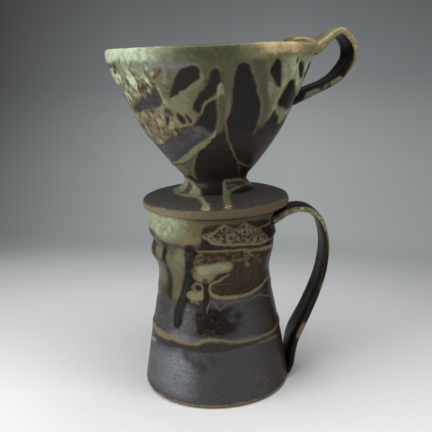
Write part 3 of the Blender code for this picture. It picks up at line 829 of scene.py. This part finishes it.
def mug_drips_centre(s):
    """The green boot in front, its fingers, and the tan line that sweeps to the right below it."""
    s.blob([(-16.4, 92.2), (-15.4, 95.2), (-13, 96.6), (-10, 97), (-9.4, 99.4), (30, 98.6), (30, 93),
        (14, 92.6), (0, 91.8), (-13, 90.4)], edge=0.5, flow=0.22, lift=0.0, rim=0.5)
    s.mottle("flow", 0.17, 1.7, 2, (1, 1, 0.8), 77,
             smoothstep(-17, -15, s.azimuth) * window(s.height, 91, 93, 97, 99)
             * (1 - smoothstep(35, 60, s.azimuth)))
    s.blob([(-16.5, 90.2), (-8, 90.8), (0, 91.6), (8, 92.5), (13, 92.3), (15.6, 90.4), (15.2, 87.6),
        (12, 86), (6, 85.3), (1.5, 84), (-1.5, 81.6), (-4, 79.2), (-8, 79.4), (-12, 79), (-16, 79.6),
        (-18.4, 80.8), (-19.8, 82.8), (-18.8, 85.8), (-17.2, 87.4)], edge=0.7, flow=0.60, tan=0.3,
        lift=0.45, rim=0.3)
    s.blob([(-14, 90), (-4, 90.6), (6, 91.2), (13, 91), (14, 88.4), (8, 87), (0, 86.4), (-8, 84.6),
        (-14, 85.2)], edge=1.6, flow=0.76, tan=0.25, lift=0.1)
    s.stroke([(-19.6, 86.2, 1.0), (-17.4, 87.2, 1.8)], flow=0.16, lift=-0.3, rim=0.4)
    s.stroke([(-4.6, 74.5, 0.9), (-4, 77, 1.0), (0, 79.2, 1.0), (6, 80.6, 0.9), (10, 82.2, 0.9),
        (14, 84, 0.6)], flow=0.40, tan=0.8, lift=0.15)
    s.stroke([(-5, 74.5, 1.0), (-3.4, 71.8, 1.6), (0, 70, 1.8), (6, 68.9, 1.9), (15, 68.3, 1.8),
        (25, 68.5, 1.7), (40, 69.1, 1.7), (50, 70.1, 1.6), (58, 71.3, 1.4), (65, 72.3, 1.2), (80, 74, 1)],
        flow=0.42, tan=0.9, lift=0.3)
    s.blob([(-21, 75), (-18.5, 77.2), (-14, 76.8), (-11.6, 74.6), (-13, 73), (-18, 72.8)], edge=0.5,
        flow=0.08, lift=-0.3, rim=0.9)
    s.blob([(-26.5, 71.6), (-23, 73), (-18, 72.4), (-12.5, 73), (-11.2, 70.4), (-12.4, 68), (-18, 67.2),
        (-24, 67.6), (-27, 69.4)], edge=0.8, flow=0.62, tan=0.75, lift=0.35)
    s.stroke([(-24, 66, 0.8), (-20, 66.2, 1.0), (-16, 64.8, 0.8)], flow=0.40, tan=0.3)
    s.stroke([(-8.8, 80, 3.6), (-8.8, 75, 3.6), (-8.4, 70, 3.8), (-8.6, 64, 4.2), (-9.2, 58, 3.6)],
        flow=0.05, edge=0.8, lift=0.3)
    s.stroke([(-7, 60, 0.5), (-6.4, 64.6, 0.8), (-3.6, 66.9, 0.8), (0, 65.4, 0.8), (1.4, 62.6, 0.8),
        (4, 61.2, 0.7), (8, 62.8, 0.7), (11.4, 65, 0.8), (20, 65.6, 0.8), (32, 65.0, 0.8), (45, 65.4, 0.8),
        (55, 64, 0.8), (66, 61, 0.6)], flow=0.34, tan=0.55, lift=0.1)


def mug_skirt(s):
    """The pitted patch, the tan line round the skirt with dark glaze below it, and a painted sheen on its
    left.
    """
    ragged = s.azimuth + 14 * s.grain(3, 6, 3)
    pits = window(ragged, -25, -13, 8, 30)
    pits *= window(s.height, 43, 47, 60, 66)
    s["flow"] -= pits * 0.13 * (1 + s.grain(4, 1.8, 2))
    s["satin"] *= 1 - pits * np.clip(1.3 + 0.8 * s.grain(4, 2.4, 2), 0, 1)
    s["rust"] += pits * np.clip(0.8 * s.grain(9, 1.3, 2) - 0.30, 0, 0.14)
    s.lift -= 0.3 * pits * np.clip(s.grain(4, 1.8, 2), 0, 1)
    blue = (1 - smoothstep(-30, -8, s.azimuth)) * window(s.height, 42, 48, 60, 67)
    s["blue"] += 0.5 * blue * np.clip(0.10 + 1.1 * s.grain(6, 1.8, 3), 0, 1)
    s.stroke([(-80, 42.6, 2.4), (-70, 42.2, 3.6), (-60, 41.6, 4.6), (-50, 41.6, 4.6), (-42, 41.4, 4.2),
        (-35, 40.4, 2.4), (-25, 40.4, 1.8), (-17, 40.8, 2.0), (-12, 42.4, 2.2), (-6, 43.6, 2.2),
        (0, 43.0, 1.8), (10, 42.3, 1.6), (20, 41.2, 1.3), (35, 40.5, 1.3), (50, 39.8, 1.2), (62, 39.4, 1.2),
        (72, 40, 1.0), (100, 40, 1.2)], flow=0.36, tan=0.62, lift=0.3, edge=0.7)
    s.blob([(-130, 40), (-80, 39.5), (-60, 39), (-45, 39), (-35, 39), (-20, 39.6), (-8, 41.4), (2, 41),
        (20, 40), (60, 38.4), (75, 38.4), (75, 36.5), (50, 37.4), (20, 37), (0, 35.4), (-20, 35.4),
        (-35, 35.8), (-45, 34.8), (-60, 33.2), (-75, 31.2), (-130, 30)], edge=0.9, flow=0.06, satin=0.25,
        lift=0.1)
    s.stroke([(38, 36.9, 0.6), (50, 35.4, 0.9), (60, 35, 0.8), (70, 33, 0.5)], flow=0.34, tan=0.5,
        satin=0.3)
    s.blob([(-79, 32), (-75, 34), (-68, 34.2), (-65, 32.8), (-70, 31.2), (-77, 30.8)], edge=1.2, flow=0.66,
        satin=0.2)
    s.mottle("flow", 0.12, 1.9, 2, (1, 1, 1), 21,
             window(s.azimuth, -8, -3, 6, 12) * window(s.height, 29, 33, 37, 39))
    # Painted sheen: blue-grey raised low on the skirt's left, where the key light's reflection falls,
    # streaked with throwing lines.
    painted_sheen = np.interp(s.azimuth, [-80, -58, -40, -29, -14], [0.6, 1.0, 1.0, 1.0, 0.0])
    painted_sheen *= window(s.height, 3, 9, 27, 36)
    sheen_lines = 1 + 0.12 * np.sin(s.height * 2 * np.pi / 1.9 + 3 * s.grain(5, 9, 2, (1, 1, 0.3)))
    s["blue"] += painted_sheen * sheen_lines * np.clip(0.9 + 0.4 * s.grain(6, 12, 2, (1, 1, 0.4)), 0, 1)
    for azimuth, height, wide in ((-26, 33, 5), (-13, 27, 6), (-4, 31, 4), (-20, 29, 4)):
        s.stroke([(azimuth - 1, height + 1.5, wide * 0.8), (azimuth + 1, height - 1.5, wide)], edge=2.6,
            flow=0.07, satin=0.45)
    warm = hill(s.azimuth, 34, 14) * hill(s.height, 12, 6)
    s["rust"] += warm * np.clip(1.2 * s.grain(8, 2.2, 3) - 0.1, 0, 0.22)


def glaze_mug(s):
    throwing_rolls(s)
    mug_fields(s)
    mug_skirt(s)
    mug_shoulder(s)
    mug_drips_left(s)
    mug_drips_centre(s)
    mug_lines(s)
    inside = smoothstep(MUG_INSIDE_FROM, MUG_INSIDE_FROM + 3.5, s.height)
    s["flow"] += inside * (0.30 + 0.25 * s.grain(90, 14, 3, (1, 1, 3)) - s["flow"])
    s["satin"] *= 1 - inside
    foot_line = 2.4 + 0.9 * s.grain(2, 10, 2) + 0.6 * hill(s.azimuth, -5, 30)
    bare = 1 - smoothstep(-0.5, 0.5, s.height - foot_line)
    s["raw"] += bare
    s.lift -= 0.2 * bare
    rings = 0.015 * np.sin(s.points[:, 2] * 2 * np.pi / 3.7 + 1.5 * s.grain(5, 30, 1))
    s.lift += rings * (1 - bare) + 0.06 * s.grain(15, 3.5, 2)


def build_mug():
    turning = Turning(MUG_COLUMNS, lambda height: 0 * height)
    mug_outline(turning)
    surface = turning.surface()
    glaze_mug(surface)
    return turning.build("mug_glazed", surface, closed=False)


# ---------------------------------------------------------------- pulled handles
class Strap:
    """A pulled strap: rounded sections along a path in a vertical plane through the pot's axis.

    Its stations are (distance from the axis, height, thickness, width) in mm, the upper end first. Its
    glaze is laid out by around (0 at the side near the front, 90 outside, 180 far side, 270 inside) and
    along (mm from the upper end).
    """

    SPACING = 0.8
    AROUND = 64
    ROUNDNESS = 0.58  # of a section, 1 for an ellipse and 0 for a box

    def __init__(self, stations, turn, axis_x, base_height):
        path = evenly(curve_through(stations, 10), self.SPACING)
        out, up, thickness, width = (path[:, i:i + 1] for i in range(4))
        step = np.gradient(path[:, :2], axis=0)
        step /= np.linalg.norm(step, axis=1)[:, None]
        angle = 2 * np.pi * np.arange(self.AROUND) / self.AROUND
        outwards = np.sign(np.sin(angle)) * np.abs(np.sin(angle)) ** self.ROUNDNESS
        sideways = np.sign(np.cos(angle)) * np.abs(np.cos(angle)) ** self.ROUNDNESS
        turn = math.radians(turn)

        def place(out, side, up):
            x = axis_x + out * math.cos(turn) - side * math.sin(turn)
            y = out * math.sin(turn) + side * math.cos(turn)
            return np.stack([x, y, up + base_height], axis=2)

        half = outwards * thickness / 2
        grid = place(out - step[:, 1:] * half, -sideways * width / 2, up + step[:, :1] * half)
        away = grid - place(out, 0 * out, up)
        self.normals = (away / np.linalg.norm(away, axis=2)[:, :, None]).reshape(-1, 3)
        self.rows = len(path)
        around = np.tile(np.degrees(angle), self.rows)
        around[around >= 315] -= 360
        along = np.r_[0, np.cumsum(np.linalg.norm(np.diff(path[:, :2], axis=0), axis=1))]
        reach = np.repeat(width * 0.30 + thickness * 0.2, self.AROUND)
        self.surface = s = Surface(grid.reshape(-1, 3), around, np.repeat(along, self.AROUND), reach)
        s.azimuth = s.azimuth + 0.7 * s.grain(0, 5, 2) / s.reach
        s.height = s.height + 0.9 * s.grain(19, 6, 2)

    def build(self, name):
        return skin(name, self.surface, self.normals, self.rows, self.AROUND, closed=False)


DRIPPER_HANDLE_TURN, MUG_HANDLE_TURN = 10, 3  # degrees away from the front
DRIPPER_STRAP = [
    (50.0, 99.7, 4.4, 24.5), (54.0, 99.8, 5.0, 25.5), (58.5, 98.7, 7.0, 25.8), (62.5, 95.6, 10.6, 25.0),
    (66.3, 96.0, 8.4, 24.0), (70.5, 99.2, 6.4, 23.5), (75.8, 103.0, 5.6, 23.0), (80.4, 104.9, 5.0, 23.0),
    (84.2, 102.8, 4.9, 23.0), (87.9, 98.0, 4.9, 23.0), (89.2, 92.9, 4.9, 23.0), (88.1, 86.8, 4.9, 23.0),
    (81.2, 78.0, 5.2, 23.0), (73.5, 73.0, 5.2, 23.0), (65.6, 69.9, 5.6, 23.0), (57.9, 67.0, 6.4, 23.5),
    (49.0, 63.8, 7.5, 24.0),
]
MUG_STRAP = [
    (38.0, 108.6, 5.6, 23.5), (42.0, 110.9, 5.2, 23.0), (48.0, 113.9, 4.6, 21.5), (56.0, 115.5, 4.2, 20.5),
    (62.5, 114.1, 4.2, 20.5), (67.6, 110.0, 4.2, 21.0), (71.2, 103.5, 4.2, 21.5), (73.4, 88.0, 4.3, 22.0),
    (70.2, 68.0, 4.7, 22.5), (62.1, 47.0, 5.0, 24.0), (52.9, 28.0, 5.6, 26.5), (50.3, 18.0, 5.4, 27.0),
    (49.3, 10.5, 5.2, 27.0), (47.4, 4.6, 4.6, 26.5), (45.0, 2.6, 4.2, 26.0),
]


def pulled_grooves(s):
    """Shallow lines down the strap from the potter's wet hand."""
    s.lift += 0.12 * np.sin(np.radians(s.azimuth) * 9 + s.grain(3, 25, 1))
    s.lift += 0.14 * s.grain(15, 5, 2)


def build_dripper_handle():
    strap = Strap(DRIPPER_STRAP, DRIPPER_HANDLE_TURN, DRIPPER_X, SAUCER_UNDER)
    s = strap.surface
    s["flow"] += 0.02
    s.blob([(28, -8), (28, 30), (26, 54), (34, 68), (90, 72), (150, 68), (200, 54), (215, 30), (215, -8)],
        edge=1.5, flow=0.56, lift=0.15)
    s.mottle("flow", 0.16, 4, 3, (1, 1, 1), 5, s["flow"] > 0.3)
    s.stroke([(84, 10, 2), (96, 18, 3), (86, 27, 2)], edge=3.2, flow=0.24, blue=0.35, lift=-0.1)
    s.blob([(-42, -8), (-42, 28), (-36, 40), (-24, 47), (-6, 53), (4, 61), (12, 68), (32, 69), (40, 56),
        (42, 42), (36, 30), (34, 14), (34, -8)], edge=1.3, flow=0.50, rust=0.72)
    s.blob([(-12, 70), (-16, 76), (10, 78), (60, 77), (100, 74), (90, 70), (40, 69)], edge=1.0, flow=0.62,
        lift=0.2)
    s.blob([(-10, 86), (-18, 93), (20, 97), (70, 95), (60, 88), (20, 85)], edge=1.0, flow=0.60, lift=0.2)
    # A painted bluish glint on the lower limb's near side, between the two olive patches.
    s.stroke([(-6, 79.5, 2), (8, 82, 3)], edge=1.0, flow=0.2, blue=0.8)
    pulled_grooves(s)
    return strap.build("dripper_handle_glazed")


def build_mug_handle():
    strap = Strap(MUG_STRAP, MUG_HANDLE_TURN, 0, 0)
    s = strap.surface
    s["flow"] += 0.04
    s.blob([(-40, -6), (-42, 18), (-30, 30), (-10, 38), (10, 50), (22, 60), (40, 60), (46, 40), (44, 20),
        (46, -6)], edge=1.2, flow=0.62, tan=0.1, lift=0.2)
    s.mottle("flow", 0.46, 2.6, 3, (1, 1, 1), 5, s["flow"] > 0.3)
    s["flow"] += 0.05 * (s["flow"] > 0.4) * (1 - smoothstep(14, 30, s.height))
    for start, end, near, reach in ((52, 58, 8, 74), (78, 83, 4, 60), (109, 118, -18, 96)):
        s.blob([(near, start), (near + 4, end), (28, end + 1.5), (reach - 14, end - 0.5),
            (reach, start + 2.5), (reach - 20, start + 0.5), (26, start - 1.5)], edge=1.5, flow=0.50,
            tan=0.5, lift=0.15)
    s.mottle("flow", 0.22, 5, 3, (1, 1, 2), 25, smoothstep(20, 60, s.azimuth) * (s["tan"] < 0.2))
    s.stroke([(-20, 30, 1.0), (-16, 60, 1.2), (-18, 90, 1.0), (-14, 118, 1.2)], edge=0.8, flow=0.22)
    pulled_grooves(s)
    return strap.build("mug_handle_glazed")


# ---------------------------------------------------------------- materials
GLAZE_RAMP = [  # from bare thin glaze to where it pools thick
    (0.00, (0.010, 0.008, 0.007)),
    (0.20, (0.040, 0.029, 0.018)),
    (0.32, (0.120, 0.086, 0.046)),
    (0.42, (0.130, 0.112, 0.060)),
    (0.55, (0.140, 0.142, 0.076)),
    (0.70, (0.210, 0.215, 0.122)),
    (0.85, (0.310, 0.345, 0.212)),
    (1.00, (0.520, 0.620, 0.430)),
]
GUNMETAL = (0.068, 0.066, 0.068, 1), (0.092, 0.090, 0.096, 1)  # the two tones of a thin satin glaze
SATIN_BROWN = (0.070, 0.060, 0.053, 1), (0.108, 0.095, 0.088, 1)
BLUE_GREY = (0.190, 0.202, 0.215, 1)
TOAST = (0.330, 0.230, 0.110, 1)
# the palest toast, which on the cone's rim is a painted highlight
PALE_TOAST_AND_HIGHLIGHT = (0.680, 0.510, 0.270, 1)
MOSS = (0.050, 0.055, 0.030, 1)  # thin olive that dims the green
LINE_TAN = (0.215, 0.170, 0.092, 1)
CRACKLE_TAN = (0.190, 0.150, 0.088, 1)
CRACKLE_DARK = (0.020, 0.015, 0.012, 1)
CRACKLE_BROWN = (0.085, 0.066, 0.040, 1)
IRON_SPECK = (0.060, 0.040, 0.022, 1)
BARE_CLAY = (0.260, 0.205, 0.112, 1)
CLAY_SPECK = (0.060, 0.038, 0.022, 1)
SHADED_CLAY = (0.130, 0.100, 0.060, 1)
BURNT_CLAY = (0.095, 0.070, 0.042, 1)


class Nodes:
    """Short ways to add and link shader nodes."""

    def __init__(self, tree):
        self.tree = tree
        self.coordinates = self.new("TexCoord").outputs

    def new(self, kind, **settings):
        node = self.tree.nodes.new("ShaderNode" + kind)
        for name, value in settings.items():
            setattr(node, name, value)
        return node

    def put(self, socket, value):
        if isinstance(value, bpy.types.NodeSocket):
            self.tree.links.new(value, socket)
        else:
            socket.default_value = value

    def field(self, name):
        return self.new("Attribute", attribute_name=name).outputs["Fac"]

    def math(self, operation, a, b, clamp=False):
        node = self.new("Math", operation=operation, use_clamp=clamp)
        self.put(node.inputs[0], a)
        self.put(node.inputs[1], b)
        return node.outputs[0]

    def add(self, a, b):
        return self.math("ADD", a, b)

    def less(self, a, b):
        return self.math("SUBTRACT", a, b)

    def times(self, a, b):
        return self.math("MULTIPLY", a, b)

    def remap(self, value, low, high, to_low=0.0, to_high=1.0, curve="SMOOTHSTEP"):
        node = self.new("MapRange", interpolation_type=curve)
        for socket, number in zip(node.inputs, (value, low, high, to_low, to_high)):
            self.put(socket, number)
        return node.outputs[0]

    def mix(self, factor, a, b):
        node = self.new("Mix", data_type="RGBA")
        for socket, value in (("Factor", factor), ("A", a), ("B", b)):
            self.put(node.inputs[socket], value)
        return node.outputs["Result"]

    def noise(self, size, detail=2.0):
        """Noise about 0.5, with features about size mm across."""
        node = self.new("TexNoise")
        self.put(node.inputs["Vector"], self.coordinates["Object"])
        self.put(node.inputs["Scale"], 1 / (size * MM))
        self.put(node.inputs["Detail"], detail)
        return node.outputs["Fac"]

    def cells(self, size, feature):
        node = self.new("TexVoronoi", feature=feature)
        self.put(node.inputs["Vector"], self.coordinates["Object"])
        self.put(node.inputs["Scale"], 1 / (size * MM))
        return node.outputs["Distance"]

    def ramp(self, value, stops):
        """Colours along a value. A stop's colour is three numbers, or one for a grey."""
        node = self.new("ValToRGB")
        elements = node.color_ramp.elements
        while len(elements) < len(stops):
            elements.new(1.0)
        for element, (position, colour) in zip(elements, stops):
            element.position = position
            element.color = (*(colour if isinstance(colour, tuple) else [colour] * 3), 1)
        self.put(node.inputs["Fac"], value)
        return node.outputs["Color"]

    def bump(self, height, distance, strength):
        node = self.new("Bump")
        for socket, value in (("Distance", distance * MM), ("Strength", strength), ("Height", height)):
            self.put(node.inputs[socket], value)
        return node.outputs["Normal"]


def new_material(name):
    material = bpy.data.materials.new(name)
    material.use_nodes = True
    n = Nodes(material.node_tree)
    return material, n, n.tree.nodes["Principled BSDF"].inputs


def glaze_inputs(n):
    """The painted fields, noise of three sizes and what follows from them."""
    g = SimpleNamespace(**{name: n.field(name) for name in Surface.NAMES})
    g.medium, g.fine, g.grit = n.noise(2.6, 3), n.noise(0.9, 2), n.noise(0.45, 1)
    g.thick = n.remap(g.flow, 0.15, 0.5)
    g.metal = n.times(n.less(1.0, g.thick), g.satin)
    wander = n.times(n.less(g.medium, 0.5), 1.3)
    g.crackle = n.remap(n.add(n.cells(3.0, "DISTANCE_TO_EDGE"), wander), 0.0, 0.22)
    g.bare = n.remap(n.add(g.raw, n.times(n.less(g.fine, 0.5), 0.5)), 0.35, 0.65)
    return g


def poured_colour(n, g, thin_pair):
    """Iron black where thin, tan where it breaks, green and pale where thick, with blooms partly painted
    sheen.
    """
    jitter = n.add(n.times(n.less(g.medium, 0.5), 0.22), n.times(n.less(g.fine, 0.5), 0.16))
    jitter = n.times(jitter, n.add(n.times(g.thick, 0.8), 0.2))
    colour = n.ramp(n.math("ADD", g.flow, jitter, clamp=True), GLAZE_RAMP)
    colour = n.mix(g.metal, colour, n.mix(n.remap(g.fine, 0.3, 0.7), *thin_pair))
    colour = n.mix(n.times(g.moss, n.remap(g.medium, 0.3, 0.7, 0.6, 1.0)), colour, MOSS)
    colour = n.mix(n.times(g.blue, n.remap(g.fine, 0.25, 0.75, 0.35, 1.0)), colour, BLUE_GREY)
    # Toast, whose palest tone is also a painted highlight where it lies on the cone's rim.
    toast_and_highlight = n.mix(n.remap(g.rust, 0.45, 1.0), TOAST, PALE_TOAST_AND_HIGHLIGHT)
    cover = n.math("MAXIMUM", n.remap(g.medium, 0.3, 0.65, 0.35, 1.0), n.remap(g.rust, 0.4, 1.0, 0.0, 0.92))
    return n.mix(n.times(g.rust, cover), colour, toast_and_highlight)


def broken_colour(n, g, colour):
    """The crackled scab, the tan lines and the iron specks over the poured glaze, and the bare clay."""
    inner = n.mix(n.remap(g.fine, 0.42, 0.58), CRACKLE_DARK, CRACKLE_BROWN)
    scab = n.mix(n.times(g.crackle, n.remap(g.medium, 0.25, 0.5, 0.3, 1.0)), CRACKLE_TAN, inner)
    colour = n.mix(g.crust, colour, scab)
    colour = n.mix(n.times(g.tan, n.remap(g.fine, 0.25, 0.6, 0.45, 0.95)), colour, LINE_TAN)
    specks = n.times(n.remap(n.cells(2.3, "F1"), 0.30, 0.16), n.remap(g.medium, 0.42, 0.6))
    colour = n.mix(n.times(specks, n.remap(g.flow, 0.3, 0.7, 0.1, 0.6)), colour, IRON_SPECK)
    clay = n.mix(n.remap(g.grit, 0.52, 0.64), BARE_CLAY, CLAY_SPECK)
    clay = n.mix(n.remap(g.medium, 0.35, 0.7, 0.0, 0.55), clay, SHADED_CLAY)
    return n.mix(g.bare, colour, n.mix(g.crust, clay, BURNT_CLAY))


def glaze_material(name, shine, metallic, thin_pair):
    """A glaze that its piece's fields steer, from bare clay to a thick run."""
    material, n, shader = new_material(name)
    g = glaze_inputs(n)
    n.put(shader["Base Color"], broken_colour(n, g, poured_colour(n, g, thin_pair)))
    n.put(shader["Metallic"], n.times(g.metal, n.less(metallic, n.times(g.bare, metallic))))
    gloss = n.add(n.remap(g.medium, 0.3, 0.7, 0.27, 0.38), n.times(g.satin, 0.17))
    gloss = n.add(gloss, n.times(n.math("MAXIMUM", g.crust, n.times(g.rust, 0.5)), 0.25))
    n.put(shader["Roughness"], n.add(n.times(gloss, n.less(1.0, g.bare)), n.times(g.bare, 0.85)))
    relief = n.add(n.times(g.medium, 0.6), n.times(g.fine, 0.25))
    relief = n.add(relief, n.times(n.times(g.grit, 0.35), n.add(g.bare, 0.25)))
    relief = n.less(relief, n.times(n.times(g.crackle, g.crust), 0.6))
    n.put(shader["Normal"], n.bump(relief, 0.35, 0.6))
    shader["IOR"].default_value = 1.5
    shader["Specular IOR Level"].default_value = shine
    return material


def dress(obj, body, node, material):
    obj.data.materials.append(material)
    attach(obj, body)
    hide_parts(node)


# ---------------------------------------------------------------- stage
PAPER_CENTRE = (-0.10, -0.22, 0.0)
PAPER_RADIUS = 0.66
PAPER_DROP = 0.0002  # below the foot
PAPER_LIGHT_POOL = [  # a painted pool of light, by the distance from its centre in m
    (0.0, 0.86), (0.20, 0.84), (0.29, 0.72), (0.38, 0.60),
    (0.47, (0.45, 0.46, 0.46)), (0.56, (0.32, 0.33, 0.33)), (0.8, (0.24, 0.25, 0.25)),
]
LEFT_BACKDROP = [  # upwards
    (0.06, (0.155, 0.165, 0.168)), (0.35, (0.115, 0.123, 0.126)), (0.51, (0.084, 0.090, 0.092)),
    (0.66, (0.055, 0.057, 0.059)), (1.0, (0.034, 0.034, 0.035)),
]
MIDDLE_BACKDROP = [
    (0.06, (0.343, 0.365, 0.362)), (0.35, (0.326, 0.348, 0.348)), (0.51, (0.281, 0.299, 0.302)),
    (0.66, (0.210, 0.224, 0.229)), (1.0, (0.125, 0.132, 0.135)),
]
MIDDLE_SHARE = [(0.0, 0.0), (0.16, 0.39), (0.32, 0.74), (0.70, 1.0), (0.86, 0.82), (1.0, 0.66)]  # rightwards
BEHIND_THE_CAMERA = (0.045, 0.046, 0.048, 1)


def backdrop_material():
    """Pale paper with a painted pool of light, brightest in front of the pot, that fades into the backdrop
    behind it.
    """
    material, n, shader = new_material("backdrop_paper")
    away = n.new("VectorMath", operation="DISTANCE")
    n.put(away.inputs[0], n.coordinates["Object"])
    n.put(away.inputs[1], PAPER_CENTRE)
    distance = away.outputs["Value"]
    fleck = n.remap(n.noise(6, 3), 0.3, 0.7, 0.0, 0.02)
    n.put(shader["Base Color"], n.mix(fleck, n.ramp(distance, PAPER_LIGHT_POOL), (0.2, 0.2, 0.2, 1)))
    n.put(shader["Roughness"], n.remap(n.noise(3, 2), 0.3, 0.7, 0.80, 0.90))
    n.put(shader["Alpha"], n.remap(distance, 0.47, 0.64, 1.0, 0.0))
    shader["Specular IOR Level"].default_value = 0.1
    return material


def build_floor():
    """A round sheet of paper, finer towards the middle."""
    rings, sides = 40, 96
    x, y, _ = PAPER_CENTRE
    turn = 2 * np.pi * np.arange(sides) / sides
    points = [(x, y, -PAPER_DROP)]
    for r in PAPER_RADIUS * (np.arange(1, rings + 1) / rings) ** 1.5:
        points += [(x + r * math.cos(t), y + r * math.sin(t), -PAPER_DROP) for t in turn]
    faces = [(0, 1 + j, 1 + (j + 1) % sides) for j in range(sides)]
    for i in range(rings - 1):
        a, b = 1 + i * sides, 1 + (i + 1) * sides
        faces += [(a + j, b + j, b + (j + 1) % sides, a + (j + 1) % sides) for j in range(sides)]
    mesh = bpy.data.meshes.new("floor")
    mesh.from_pydata(points, [], faces)
    mesh.shade_smooth()
    mesh.materials.append(backdrop_material())
    return link("floor", mesh)


def softbox(name, place, target, size, power, tint=(1, 1, 1)):
    light = bpy.data.lights.new(name, "AREA")
    light.shape = "RECTANGLE"
    light.size, light.size_y = size
    light.energy = power
    light.color = tint
    obj = link(name, light)
    obj.location = place
    obj.rotation_euler = (Vector(target) - Vector(place)).to_track_quat("-Z", "Y").to_euler()
    obj.visible_camera = False


def build_light():
    middle = (0, 0, 0.12)
    softbox("key", (-0.75, -0.40, 0.36), middle, (0.60, 0.68), 6.2, (0.97, 0.99, 1.0))
    softbox("top", (0.05, -0.10, 1.1), middle, (0.8, 0.8), 10)
    softbox("side", (0.70, -0.42, 0.50), (0, 0, 0.2), (0.4, 0.4), 2.2)
    build_world()


def build_world():
    """The backdrop far behind: darker upwards, and lit most a little to the right of the middle."""
    world = bpy.data.worlds.new("studio")
    bpy.context.scene.world = world
    world.use_nodes = True
    n = Nodes(world.node_tree)
    split = n.new("SeparateXYZ")
    n.put(split.inputs[0], n.coordinates["Generated"])
    height = n.remap(split.outputs["Z"], -0.30, 0.10, curve="LINEAR")
    share = n.ramp(n.remap(split.outputs["X"], -0.32, 0.32, curve="LINEAR"), MIDDLE_SHARE)
    ahead = n.remap(split.outputs["Y"], 0.55, 0.90)
    backdrop = n.mix(share, n.ramp(height, LEFT_BACKDROP), n.ramp(height, MIDDLE_BACKDROP))
    n.put(n.tree.nodes["Background"].inputs["Color"], n.mix(ahead, BEHIND_THE_CAMERA, backdrop))


def build_camera():
    """The photograph's viewpoint: level with the cone's rim, looking a little down, rolled a little."""
    pitch, yaw, roll = (math.radians(degrees) for degrees in (-13.93, 0.5, -1.815))
    forward = Vector((math.sin(yaw) * math.cos(pitch), math.cos(yaw) * math.cos(pitch), math.sin(pitch)))
    level = forward.cross(Vector((0, 0, 1))).normalized()
    up = level.cross(forward)
    right = level * math.cos(roll) + up * math.sin(roll)
    up = right.cross(forward)
    camera = bpy.data.cameras.new("camera")
    camera.sensor_width = 36
    camera.lens = 54.20417
    camera.clip_start = 0.01
    obj = link("camera", camera)
    obj.matrix_world = Matrix((right, up, -forward)).transposed().to_4x4()
    obj.location = (-0.00123, -0.4107, 0.21336)
    bpy.context.scene.camera = obj


# ---------------------------------------------------------------- the scene
PIECES = [  # how it is built, body, CAD node, material slot, shine, metallic, tones of the thin glaze
    (build_cone, "dripper", "dripper_cone", "cone_glaze", 0.15, 0.7, GUNMETAL),
    (build_saucer, "dripper", "dripper_saucer", "saucer_glaze", 0.3, 0.35, SATIN_BROWN),
    (build_ring, "dripper", "locating_ring", "ring_clay", 0.2, 0.0, SATIN_BROWN),
    (build_dripper_handle, "dripper", "dripper_handle", "dripper_handle_glaze", 0.12, 0.0, SATIN_BROWN),
    (build_mug, "mug", "mug_body", "mug_body_glaze", 0.1, 0.8, GUNMETAL),
    (build_mug_handle, "mug", "mug_handle", "mug_handle_glaze", 0.08, 0.0, SATIN_BROWN),
]


def main():
    for build, body, node, slot, shine, metallic, thin_pair in PIECES:
        dress(build(), body, node, glaze_material(slot, shine, metallic, thin_pair))
    floor = build_floor()
    build_light()
    build_camera()
    bpy.context.scene.view_settings.view_transform = "Standard"


main()
